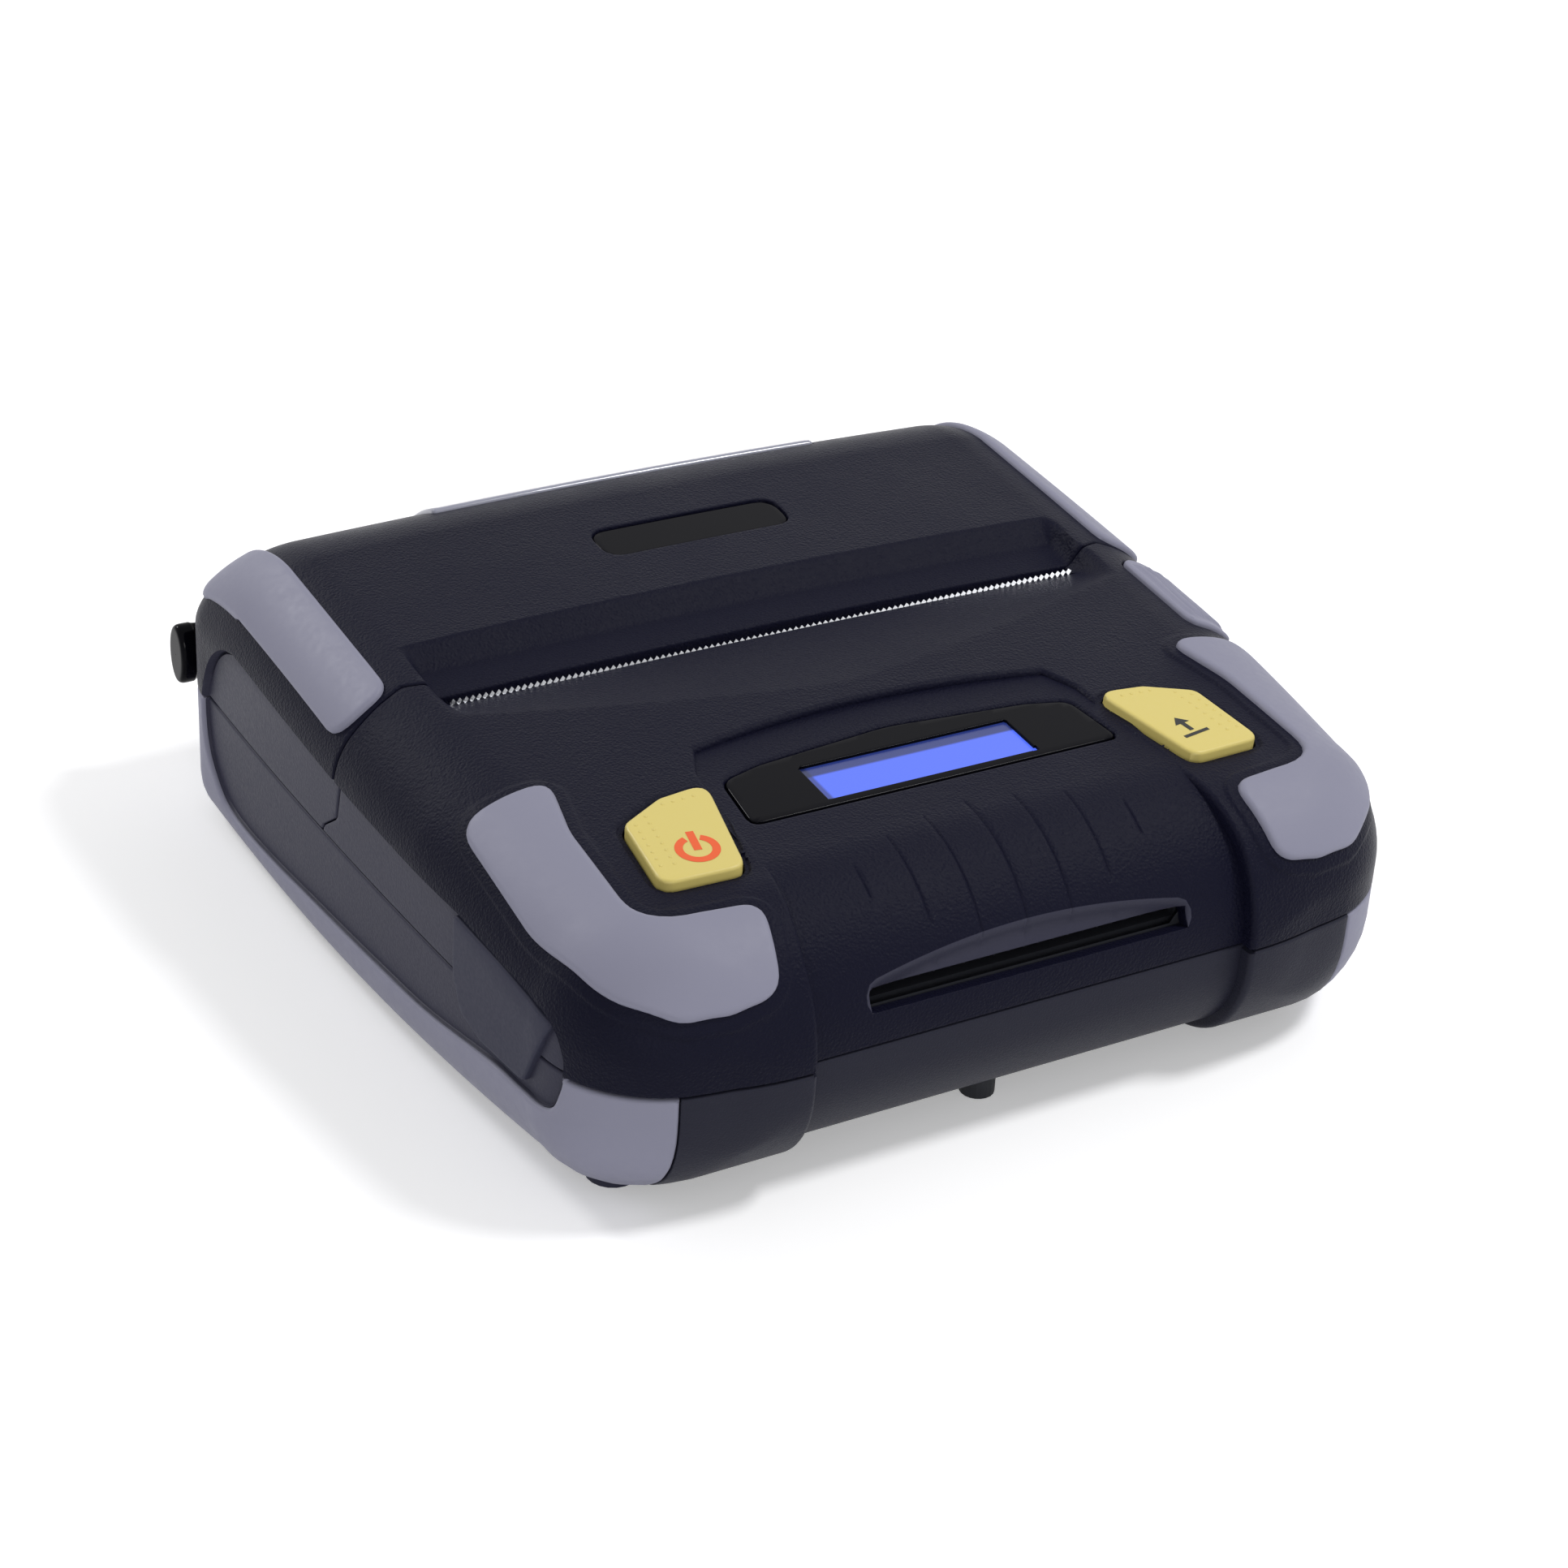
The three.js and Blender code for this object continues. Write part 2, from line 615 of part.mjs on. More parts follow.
const frontBumperOutline = frontBumperShape();
const coverBumperOutline = coverBumperShape();

// Display opening

function lensShape() {
  const right = [[lens.halfWidth, lens.frontY], [lens.sideX, lens.sideY]];
  const shape = new THREE.Shape();
  shape.moveTo(-lens.halfWidth + lens.frontCorner, lens.frontY);
  shape.lineTo(lens.halfWidth - lens.frontCorner, lens.frontY);
  shape.quadraticCurveTo(...right[0], lens.halfWidth, lens.frontY + lens.frontCorner);
  shape.lineTo(...right[1]);
  shape.quadraticCurveTo(lens.sideX, lens.backY - lens.frontCorner, lens.sideX - lens.backCorner,
    lens.backY - lens.frontCorner);
  shape.quadraticCurveTo(0, lens.backY + lens.frontCorner, -lens.sideX + lens.backCorner,
    lens.backY - lens.frontCorner);
  shape.quadraticCurveTo(-lens.sideX, lens.backY - lens.frontCorner, -lens.sideX, lens.sideY);
  shape.lineTo(-lens.halfWidth, lens.frontY + lens.frontCorner);
  shape.quadraticCurveTo(-lens.halfWidth, lens.frontY, -lens.halfWidth + lens.frontCorner, lens.frontY);
  return shape;
}

const lensOutline = lensShape();

// A layer that follows the band's top line, from one depth under it to another
function bandLayer(shape, fromDepth, toDepth) {
  const [front, back] = [band.rollY, band.archY + overrun];
  const layer = prismX(polygon([
    [front, bandZ(front) - toDepth], [back, bandZ(back) - toDepth],
    [back, bandZ(back) - fromDepth], [front, bandZ(front) - fromDepth],
  ]), -farX, farX);
  return common(prismZ(shape, body.frontRollZ, highZ), layer);
}

const displayRectangle = (grow) => polygon([
  [-display.halfWidth - grow, display.frontY - grow], [display.halfWidth + grow, display.frontY - grow],
  [display.halfWidth + grow, display.backY + grow], [-display.halfWidth - grow, display.backY + grow],
]);

// Card slot: a straight passage under a shallow arched brow

function cardPassage() {
  return box(-card.halfWidth, card.halfWidth, body.frontY - overrun, card.depthY, card.lowZ, card.highZ);
}

function cardBrow() {
  const shape = new THREE.Shape();
  shape.moveTo(-card.halfWidth, card.lowZ);
  shape.lineTo(card.halfWidth, card.lowZ);
  shape.lineTo(card.halfWidth, card.archEndZ);
  shape.quadraticCurveTo(card.halfWidth, card.archZ, card.halfWidth - card.browCorner, card.archZ);
  shape.quadraticCurveTo(0, card.archZ + card.browCorner, -card.halfWidth + card.browCorner, card.archZ);
  shape.quadraticCurveTo(-card.halfWidth, card.archZ, -card.halfWidth, card.archEndZ);
  shape.closePath();
  const faceY = band.rollY - band.rollRadius;
  return prismY(shape, faceY - overrun, faceY + card.browDepth);
}

function grooveCutters() {
  const middle = (groove.count - 1) / 2;
  const cutters = [];
  for (let i = 0; i < groove.count; i += 1) {
    const step = i - middle;
    const reach = groove.reach * (1 - square(step / grooveSpreadShare));
    const x = step * groove.pitch;
    cutters.push(box(x - groove.width / 2, x + groove.width / 2, groove.middleY - reach,
      groove.middleY + reach, body.frontRollZ, highZ));
  }
  return cut(join(...cutters), bandInner(groove.depth));
}

// The lowered band's own body, a given depth under its surface
function bandInner(depth) {
  return cut(hull(), bandCutter(depth));
}

// Buttons

function buttonShape() {
  const c = button.corners;
  return roundedShape([c.innerBack, c.back, c.outerBack, c.outerFront, c.innerFront], button.corner);
}

const buttonOutline = buttonShape();

// A cap that stands through the case, with a rim under the case wall that keeps it in
function pressedKey(outline, proud, lowZ) {
  const cap = common(prismZ(outline, lowZ, highZ), cut(hull(-proud), hull(wall + button.skirt)));
  const rim = common(
    prismZ(grownShape(outline, button.flange), lowZ, highZ),
    cut(hull(wall + seam), hull(wall + button.skirt)),
  );
  return join(cap, cut(rim, bandCutter(wall + seam)));
}

const buttonSolid = (side) => onSide(pressedKey(buttonOutline, button.proud, keypad.z), side);
const buttonHole = (side) => onSide(prismZ(grownShape(buttonOutline, running), keypad.z, highZ), side);

function releaseShape() {
  const r = release;
  return roundedShape([[r.innerX, r.frontY], [r.outerX, r.frontY], [r.outerX, r.backY], [r.innerX, r.backY]], r.corner);
}

const releaseOutline = releaseShape();

// Screws join base and front

const corners = [['front_left', -1, 'frontY'], ['front_right', 1, 'frontY'], ['back_left', -1, 'backY'],
  ['back_right', 1, 'backY']];

// The four places of a fastener or foot, each with its name
const cornerSpots = (spec) => corners.map(([word, side, end]) => ({ word, x: side * spec.x, y: spec[end] }));

const eachScrew = (make) => join(...cornerSpots(screw).map(({ x, y }) => make(x, y)));
const eachFoot = (make) => join(...cornerSpots(foot).map(({ x, y }) => make(x, y)));

// Front of the case

function frontHousing() {
  let solid = cut(common(skin, aboveParting(0)), coverSide(-seam));
  const throat = box(-outlet.halfWidth, outlet.halfWidth, outlet.frontY, farY, body.partingZ, highZ);
  const bosses = common(
    eachScrew((x, y) => rodZ(screw.boss, body.partingZ, highZ, x, y)),
    cut(hull(seam), recessCutter(1), recessCutter(-1)),
  );
  const holes = eachScrew((x, y) => rodZ(screw.shankRadius + seam, -overrun, screw.topZ + seam, x, y));
  solid = cut(join(solid, bosses), holes, throat);
  for (const side of [1, -1]) {
    solid = cut(solid, topBumperSeat(frontBumperOutline, frontBumper, body.partingZ, side), buttonHole(side));
  }
  const releaseHole = prismZ(grownShape(releaseOutline, running), release.lowZ - release.travel - running, highZ);
  const lensSeat = bandLayer(grownShape(lensOutline, seam / 2), -overrun, lens.thickness + seam / 2);
  const displayHole = bandLayer(displayRectangle(-display.flange), 0, overrun);
  return tidy(cut(solid, releaseHole, lensSeat, displayHole, cardPassage(), cardBrow(), grooveCutters(),
    portWindow()));
}

// Base of the case

function batteryBay(grow) {
  const b = battery;
  return box(-b.halfWidth - grow, b.halfWidth + grow, b.frontY - grow, b.backY + grow, -overrun, b.highZ + grow);
}

function latchPocket(grow) {
  const l = batteryLatch;
  return box(-l.halfWidth - grow, l.halfWidth + grow, l.frontY - l.travel - grow, battery.frontY, l.lowZ,
    l.lowZ + l.thickness + grow);
}

// Two open channels that carry the battery latch
function latchRails() {
  const l = batteryLatch;
  const half = l.halfWidth + rib;
  const block = box(-half, half, l.frontY - l.travel - rib, battery.frontY - rib, 0, l.lowZ + l.thickness + rib);
  const middle = box(rib - l.halfWidth, l.halfWidth - rib, -farY, farY, -overrun, highZ);
  return cut(common(block, bandInner(rib)), middle);
}

function nubSlot() {
  const l = batteryLatch;
  const half = l.nubRadius + running;
  return box(-half, half, l.nubY - l.travel - half, l.nubY + half, -overrun, l.lowZ + seam);
}

function baseKnuckles(gap) {
  const spots = [];
  for (const side of [1, -1]) {
    const from = hinge.baseInnerX - gap;
    const to = hinge.baseInnerX + hinge.baseWidth + gap;
    const barrel = rodX(hinge.barrelRadius + gap, from, to, hinge.y, hinge.z, roundSteps);
    const web = box(from, to, body.rearY - wall - gap, body.rearY + gap, body.underRearZ, hinge.z);
    spots.push(onSide(join(barrel, web), side));
  }
  return join(...spots);
}

const pinHole = rodX(hinge.pinRadius + hinge.holeGap, -farX, farX, hinge.y, hinge.z, roundSteps);

const earZone = (gap) => rodX(ear.radius + gap, ear.innerX - gap, farX, hinge.y, hinge.z, fineSteps);
const postEars = (gap) => join(earZone(gap), mirrored(earZone(gap)));

// The rear edge is hollowed along the hinge line, so that the cover's own edge can swing through it
const hingeHollow = rodX(hinge.barrelRadius + running, -ear.innerX + seam, ear.innerX - seam, hinge.y, hinge.z);

function baseHousing() {
  const inner = hull(wall - seam);
  const bayLiner = common(batteryBay(rib), hull(seam), bandInner(0));
  const bosses = common(eachScrew((x, y) => rodZ(screw.boss, body.floorZ, body.partingZ - seam, x, y)), inner);
  const solid = cut(join(common(skin, belowParting), bayLiner, bosses, latchRails()), batteryBay(seam));
  const holes = eachScrew((x, y) => join(
    rodZ(screw.shankRadius + seam, -overrun, body.partingZ, x, y),
    rodZ(screw.headRadius + seam, -overrun, body.floorZ + screw.floor + screw.headHeight, x, y),
  ));
  const feet = eachFoot((x, y) => rodZ(foot.radius + seam, -overrun, body.floorZ + foot.seat + seam, x, y));
  const opened = cut(solid, latchPocket(seam), holes, feet, nubSlot(), batteryTab(seam), hingeHollow);
  const ears = common(postEars(0), hull());
  return tidy(cut(join(opened, baseKnuckles(0), ears), coverKnuckles(running), pinHole, lowerBumperSeat(1),
    lowerBumperSeat(-1)));
}

// Cover

function coverKnuckles(gap) {
  const sets = [];
  const starts = [hinge.baseInnerX - hinge.coverWidth - seam, hinge.baseInnerX + hinge.baseWidth + seam];
  for (const side of [1, -1]) {
    for (const start of starts) {
      const barrel = rodX(hinge.barrelRadius + gap, start - gap, start + hinge.coverWidth + gap, hinge.y, hinge.z);
      sets.push(onSide(barrel, side));
    }
  }
  return join(...sets);
}

function coverEars(gap) {
  const sides = [1, -1].map((side) => onSide(
    box(bearing.inner - gap, bearing.inner + bearing.width + gap, platen.y - bracketEar.halfY,
      platen.y + bracketEar.halfY, bracketEar.lowZ, highZ),
    side,
  ));
  return join(...sides);
}

function windowLayer(fromDepth, toDepth, grow) {
  const half = coverWindow.halfWidth + grow;
  const zone = box(-half, half, coverWindow.frontY - grow, farY, coverWindow.lowZ - grow, highZ);
  return common(zone, cut(hull(fromDepth), hull(toDepth)));
}

const badgeOutline = roundedShape([
  [-badge.halfWidth, badge.frontY], [badge.halfWidth, badge.frontY],
  [badge.halfWidth, badge.backY], [-badge.halfWidth, badge.backY],
], badge.corner);

function coverShell() {
  let solid = common(skin, aboveParting(seam), coverSide(0));
  const lip = box(-outlet.halfWidth, outlet.halfWidth, -farY, dip.lipY, body.partingZ, highZ);
  const ears = common(coverEars(0), cut(hull(seam), dipCutter(seam)));
  const bore = rodX(bearing.radius + seam / 2, -bearing.inner - overrun / 2, bearing.inner + overrun / 2,
    platen.y, platen.z, fineSteps);
  solid = cut(join(cut(solid, lip), ears), bore);
  for (const side of [1, -1]) {
    solid = cut(solid, topBumperSeat(coverBumperOutline, coverBumper, coverBumper.lowZ, side));
  }
  const badgeSeat = common(prismZ(grownShape(badgeOutline, seam / 2), coverBumper.lowZ, highZ),
    cut(hull(-overrun / 2), hull(badge.sink + badge.thickness + seam / 2)));
  const windowSeat = windowLayer(-overrun / 2, coverWindow.sink + coverWindow.thickness + seam / 2, seam / 2);
  const windowHole = windowLayer(0, wall + overrun / 2, -coverWindow.ledge);
  solid = cut(solid, badgeSeat, windowSeat, windowHole, baseKnuckles(running));
  solid = cut(solid, postEars(running));
  return tidy(cut(join(solid, coverKnuckles(0)), pinHole));
}

// Small cover parts

function strapPost(side) {
  const head = new THREE.Shape();
  head.absellipse(0, 0, post.headHalfY, post.headHalfZ, 0, Math.PI * 2, false, 0);
  const headGeometry = new THREE.ExtrudeGeometry(head, {
    depth: post.headOuterX - post.headInnerX - post.round * 2, bevelEnabled: true,
    bevelThickness: post.round, bevelSize: post.round, bevelOffset: -post.round, bevelSegments: 2,
    curveSegments: roundSteps / 2,
  }).applyMatrix4(towardX).translate(post.headInnerX + post.round, hinge.y, hinge.z);
  const neck = new THREE.Shape();
  neck.absellipse(0, 0, post.neckHalfY, post.headHalfZ - post.round / 2, 0, Math.PI * 2, false, 0);
  const neckGeometry = pulled(neck, post.headInnerX + post.round - post.rootX, roundSteps / 2)
    .applyMatrix4(towardX).translate(post.rootX, hinge.y, hinge.z);
  const solid = cut(join(toSolid(headGeometry), toSolid(neckGeometry)), hull(-seam));
  return onSide(solid, side);
}

// Print mechanism

function gearShape(teeth, phase) {
  const pitch = gear.module * teeth / 2;
  const root = pitch - gear.module * toothShares.root;
  const tip = pitch + gear.module * toothShares.tip;
  const step = (Math.PI * 2) / teeth;
  const half = step / 4 - gear.play / (2 * pitch);
  const [rootHalf, tipHalf] = [half * toothShares.rootHalf, half * toothShares.tipHalf];
  const points = [];
  for (let i = 0; i < teeth; i += 1) {
    const middle = phase + i * step;
    const corners = [[root, -rootHalf], [tip, -tipHalf], [tip, tipHalf], [root, rootHalf]];
    corners.forEach(([radius, away]) => {
      points.push([radius * Math.cos(middle + away), radius * Math.sin(middle + away)]);
    });
  }
  return polygon(points);
}

const idlerDistance = gear.module * (gear.platenTeeth + gear.idlerTeeth) / 2;
const pinionDistance = gear.module * (gear.pinionTeeth + gear.idlerTeeth) / 2;
const radians = THREE.MathUtils.degToRad;
const idler = {
  y: platen.y + idlerDistance * Math.cos(radians(gearLayout.idlerTurn)),
  z: platen.z + idlerDistance * Math.sin(radians(gearLayout.idlerTurn)),
};
const pinion = {
  y: idler.y + pinionDistance * Math.cos(radians(gearLayout.pinionTurn)),
  z: idler.z + pinionDistance * Math.sin(radians(gearLayout.pinionTurn)),
};

// Tooth positions: a tooth of one wheel faces a gap of its neighbour
function gearPhases() {
  const halfTurn = Math.PI;
  const idlerStep = (Math.PI * 2) / gear.idlerTeeth;
  const idlerPhase = radians(gearLayout.idlerTurn) + halfTurn;
  const platenPhase = radians(gearLayout.idlerTurn) + halfTurn / gear.platenTeeth;
  const toPinion = radians(gearLayout.pinionTurn);
  const away = (toPinion - idlerPhase) / idlerStep;
  const offset = away - Math.round(away);
  const pinionStep = (Math.PI * 2) / gear.pinionTeeth;
  return { idlerPhase, platenPhase, pinionPhase: toPinion + halfTurn + pinionStep / 2 + pinionStep * offset };
}

const phases = gearPhases();

function gearWheel(teeth, phase, place, boreRadius) {
  const wheel = prismX(gearShape(teeth, phase), gear.x, gear.x + gear.width);
  const placed = wheel.translate([0, place.y, place.z]);
  return cut(placed, rodX(boreRadius, gear.x - overrun, gear.x + overrun, place.y, place.z));
}

function rollerSolid() {
  const tube = rodX(platen.radius, -platen.halfLength, platen.halfLength, platen.y, platen.z, fineSteps);
  return cut(tube, rodX(platen.shaftRadius + seam / 2, -farX, farX, platen.y, platen.z));
}

function bearingSolid(side) {
  return onSide(cut(
    rodX(bearing.radius, bearing.inner, bearing.inner + bearing.width, platen.y, platen.z, fineSteps),
    rodX(platen.shaftRadius + bearing.gap, 0, farX, platen.y, platen.z),
  ), side);
}

const headBackY = printHead.y - printHead.thickness - seam;
const sinkBackY = headBackY - heatsink.thickness;
const bracketY = sinkBackY - headSpring.length - seam;

function printHeadSolid() {
  const base = box(-printHead.halfLength, printHead.halfLength, printHead.y - printHead.thickness, printHead.y,
    printHead.lowZ, printHead.highZ);
  const glaze = rodX(printHead.thickness, -printHead.halfLength, printHead.halfLength,
    printHead.y - printHead.thickness / 2, platen.z, roundSteps);
  return common(join(base, glaze), box(-farX, farX, printHead.y - printHead.thickness, farY, 0, highZ));
}

function heatsinkSolid() {
  const plate = box(-printHead.halfLength, printHead.halfLength, sinkBackY, headBackY, printHead.lowZ,
    printHead.highZ);
  const pitch = 2 * printHead.halfLength / heatsink.fins;
  const slots = [];
  for (let i = 0; i < heatsink.fins; i += 1) {
    const x = -printHead.halfLength + (i + heatsink.finShare) * pitch;
    const clearOfSpring = Math.abs(Math.abs(x) - headSpring.x) > headSpring.radius + pitch / 4;
    if (clearOfSpring) {
      slots.push(box(x - pitch / 4, x + pitch / 4, sinkBackY - overrun, sinkBackY + heatsink.finDepth,
        printHead.lowZ - overrun, printHead.highZ + overrun));
    }
  }
  return cut(plate, ...slots);
}

function springSolid(side) {
  const points = [];
  const count = headSpring.turns * headSpring.steps;
  const travel = headSpring.length - headSpring.wire * 2 - seam;
  for (let i = 0; i <= count; i += 1) {
    const angle = Math.PI * 2 * (i / headSpring.steps);
    points.push(vector(
      side * headSpring.x + headSpring.radius * Math.cos(angle),
      bracketY + headSpring.wire + seam + travel * (i / count),
      headSpring.z + headSpring.radius * Math.sin(angle),
    ));
  }
  const wire = new THREE.Shape().absarc(0, 0, headSpring.wire / 2, 0, Math.PI * 2, false);
  return toSolid(new THREE.ExtrudeGeometry(wire, {
    steps: count, extrudePath: new THREE.CatmullRomCurve3(points), bevelEnabled: false, curveSegments: 3,
  }));
}

function headBracketSolid() {
  const half = printHead.halfLength;
  const [back, front] = [bracketY, bracketY - headBracket.thickness];
  const plate = box(-half, half, front, back, printHead.lowZ, printHead.highZ - seam);
  const footZ = battery.highZ + rib + seam;
  const leg = box(headBracket.legX, headBracket.legX + headBracket.legWidth, front, back, footZ,
    printHead.lowZ + seam);
  return join(plate, leg, mirrored(leg));
}

function tearBarSolid() {
  const profile = new THREE.Shape();
  const low = dip.tearZ - tearBar.height;
  const shoulder = dip.tearZ - tearBar.toothHeight;
  const count = Math.round(tearBar.halfLength * 2 / tearBar.toothPitch);
  const pitch = tearBar.halfLength * 2 / count;
  profile.moveTo(-tearBar.halfLength, low);
  profile.lineTo(tearBar.halfLength, low);
  for (let i = 0; i < count; i += 1) {
    const x = tearBar.halfLength - i * pitch;
    profile.lineTo(x, shoulder);
    profile.lineTo(x - pitch / 2, dip.tearZ);
  }
  profile.lineTo(-tearBar.halfLength, shoulder);
  profile.closePath();
  return prismY(profile, dip.tearY - tearBar.thickness, dip.tearY);
}

const motorEndX = gear.x - seam * 2 - gearPlate.thickness;

function motorSolid() {
  const can = rodX(motor.radius, motorEndX - motor.length, motorEndX - seam, pinion.y, pinion.z, fineSteps);
  const shaft = rodX(motor.shaftRadius, motorEndX - motor.length / 2, gear.x + gear.width - seam, pinion.y, pinion.z);
  return join(can, shaft);
}

function gearPlateSolid() {
  const g = gearPlate;
  const plate = box(motorEndX, motorEndX + g.thickness, g.frontY, g.backY, g.lowZ, g.highZ);
  const earClear = box(0, farX, platen.y - bracketEar.halfY - running, farY, bracketEar.lowZ - running, highZ);
  const shaftHole = rodX(motor.shaftRadius + running, 0, farX, pinion.y, pinion.z);
  const pin = rodX(idlerPin.radius, motorEndX, gear.x + gear.width, idler.y, idler.z);
  return join(cut(plate, earClear, shaftHole), pin);
}

// Latch: one rod across the case with a beaked arm at each end and a lever under the release button
function latchSolid() {
  const rod = rodX(latch.rodRadius, -latch.armX - latch.armWidth, latch.armX + latch.armWidth, latch.y, latch.z);
  const clear = platen.shaftRadius + latch.gap;
  const rearY = platen.y - clear;
  const frontY = rearY - latch.armDepth;
  const arm = polygon([
    [latch.y - latch.rodRadius, latch.z], [latch.y, latch.z - latch.rodRadius], [latch.y + latch.rodRadius, latch.z],
    [latch.y, platen.z - clear - latch.armDepth / 2], [rearY, platen.z - latch.gap], [rearY, platen.z + clear],
    [rearY + latch.gap / 2, platen.z + clear + latch.beak], [frontY, platen.z + clear],
    [frontY, platen.z - clear],
  ]);
  const lever = polygon([
    [latch.y, latch.z - latch.rodRadius], [latch.y + latch.rodRadius, latch.z],
    [latch.y, latch.z + latch.rodRadius], [latch.leverY, latch.leverZ],
    [latch.leverY, latch.leverZ - latch.leverHeight],
  ]);
  const right = prismX(arm, latch.armX, latch.armX + latch.armWidth);
  return join(rod, right, mirrored(right), prismX(lever, latch.armX, latch.armX + latch.armWidth));
}

function releaseSolid() {
  const key = pressedKey(releaseOutline, release.proud, release.lowZ);
  const stemX = release.innerX + release.stem / 2;
  const stemY = latch.leverY + release.stem;
  const stem = box(stemX, latch.armX + latch.armWidth, stemY - release.stem / 2, stemY + release.stem,
    latch.leverZ + seam, highZ);
  return join(key, common(stem, hull(wall)), cut(releaseRibs(), hull(0)));
}

function releaseRibs() {
  const step = (release.outerX - release.innerX) / (release.ribs + 1);
  const [front, back] = [release.frontY + release.corner, release.backY - release.corner];
  const bars = [];
  for (let i = 1; i <= release.ribs; i += 1) {
    const x = release.innerX + i * step;
    const [left, right] = [x - release.ribWidth / 2, x + release.ribWidth / 2];
    bars.push(roundedShape([[left, front], [right, front], [right, back], [left, back]], release.ribWidth / 2));
  }
  const block = join(...bars.map((shape) => prismZ(shape, release.lowZ, highZ)));
  return common(block, hull(-release.proud - release.ribHeight));
}

// Paper trough: an open half tube with two end cheeks

function troughSolid() {
  const outer = trough.radius + trough.thickness;
  const shape = new THREE.Shape();
  shape.moveTo(trough.y - outer, trough.rimZ);
  shape.lineTo(trough.y - outer, troughZ);
  shape.absarc(trough.y, troughZ, outer, Math.PI, Math.PI * 2, false);
  shape.lineTo(trough.y + outer, trough.rimZ);
  shape.closePath();
  const hollow = new THREE.Shape();
  hollow.moveTo(trough.y - trough.radius, trough.rimZ + overrun);
  hollow.lineTo(trough.y - trough.radius, troughZ);
  hollow.absarc(trough.y, troughZ, trough.radius, Math.PI, Math.PI * 2, false);
  hollow.lineTo(trough.y + trough.radius, trough.rimZ + overrun);
  hollow.closePath();
  const steps = arcSteps * 3;
  const full = trough.halfWidth + trough.thickness;
  const block = toSolid(pulled(shape, full * 2, steps).applyMatrix4(towardX).translate(-full, 0, 0));
  const room = toSolid(pulled(hollow, trough.halfWidth * 2, steps).applyMatrix4(towardX)
    .translate(-trough.halfWidth, 0, 0));
  return cut(block, room);
}

// Electronics

function boardSolid() {
  const m = mainBoard;
  const top = m.z + m.thickness;
  const board = box(-m.halfWidth, m.halfWidth, m.frontY, m.backY, m.z, top);
  const chips = [-1, 0, 1].map((i) => box(
    i * chip.spacing - chip.size / 2, i * chip.spacing + chip.size / 2,
    m.backY - chip.edge - chip.size, m.backY - chip.edge, top - weld, top + chip.height,
  ));
  return join(board, ...chips);
}

function keypadSolid() {
  const k = keypad;
  const c = button.corners;
  const top = k.z + k.thickness;
  const board = box(-k.halfWidth, k.halfWidth, k.frontY, k.backY, k.z, top);
  const centre = [(c.innerBack[0] + c.outerFront[0]) / 2, (c.innerBack[1] + c.outerFront[1]) / 2];
  const room = hull(wall + button.skirt + button.travel + seam);
  const key = common(rodZ(k.capRadius, top - weld, highZ, ...centre), room);
  const base = common(box(centre[0] - k.switchHalf, centre[0] + k.switchHalf, centre[1] - k.switchHalf,
    centre[1] + k.switchHalf, top - weld, top + k.thickness / 2), room);
  const right = join(key, base);
  return common(join(board, right, mirrored(right)), hull(wall + seam));
}

function displaySolid() {
  const screen = bandLayer(displayRectangle(-display.flange - seam), lens.thickness + seam, display.thickness + seam);
  const frame = bandLayer(displayRectangle(0), wall + seam, wall + seam + display.thickness);
  return join(screen, frame);
}

function readerSolid() {
  const r = reader;
  const block = common(box(-r.halfWidth, r.halfWidth, r.frontY, r.backY, r.lowZ, r.highZ), bandInner(wall + seam));
  const middleY = (r.frontY + r.backY) / 2;
  const head = box(-r.headHalf, r.headHalf, middleY - r.headHalf, middleY + r.headHalf, r.headZ, r.lowZ + weld);
  return cut(join(block, head), cardPassage());
}

function portWindow() {
  const p = port;
  const lowZ = mainBoard.z + mainBoard.thickness + seam;
  return box(-farX, -p.innerX, p.frontY + rib, p.backY - rib, lowZ, p.highZ - rib);
}

function portSolid() {
  const p = port;
  const z0 = mainBoard.z + mainBoard.thickness + seam;
  const room = hull(wall + seam);
  const block = common(box(-p.outerX, -p.innerX, p.frontY, p.backY, z0, p.highZ), room);
  const middleZ = (z0 + p.highZ) / 2;
  const jackY = p.backY - (p.backY - p.frontY) / 4;
  const usbY = p.frontY + (p.backY - p.frontY) / 4 + rib;
  const jack = rodX(p.jackRadius, -farX, -p.outerX + p.depth, jackY, middleZ);
  const usb = box(-farX, -p.outerX + p.depth, usbY - p.usbHalf, usbY + p.usbHalf, middleZ - p.usbHeight / 2,
    middleZ + p.usbHeight / 2);
  return cut(block, jack, usb);
}

function flapSolid() {
  const f = flap;
  const shape = roundedShape([f.backTop, f.frontTop, f.frontLow, f.low, f.heel, f.backLow], f.corner);
  const cap = common(prismX(shape, 0, farX), shellLayer(0, sideRecess.depth - seam));
  const p = port;
  const plug = common(
    box(0, farX, p.frontY + rib + running, p.backY - rib - running, mainBoard.z + mainBoard.thickness + seam + running,
      p.highZ - rib - running),
    cut(hull(sideRecess.depth / 2), hull(wall - seam)),
  );
  return onSide(join(cap, plug), -1);
}

// Power

// A tab at the rear of the battery hooks into the bay wall
function batteryTab(grow) {
  const b = battery;
  const middleZ = batteryLatch.lowZ + batteryLatch.thickness / 2;
  const halfZ = batteryLatch.thickness / 2 + grow;
  return box(-b.tabHalf - grow, b.tabHalf + grow, b.backY - b.tab, b.backY + b.tab + grow, middleZ - halfZ,
    middleZ + halfZ);
}

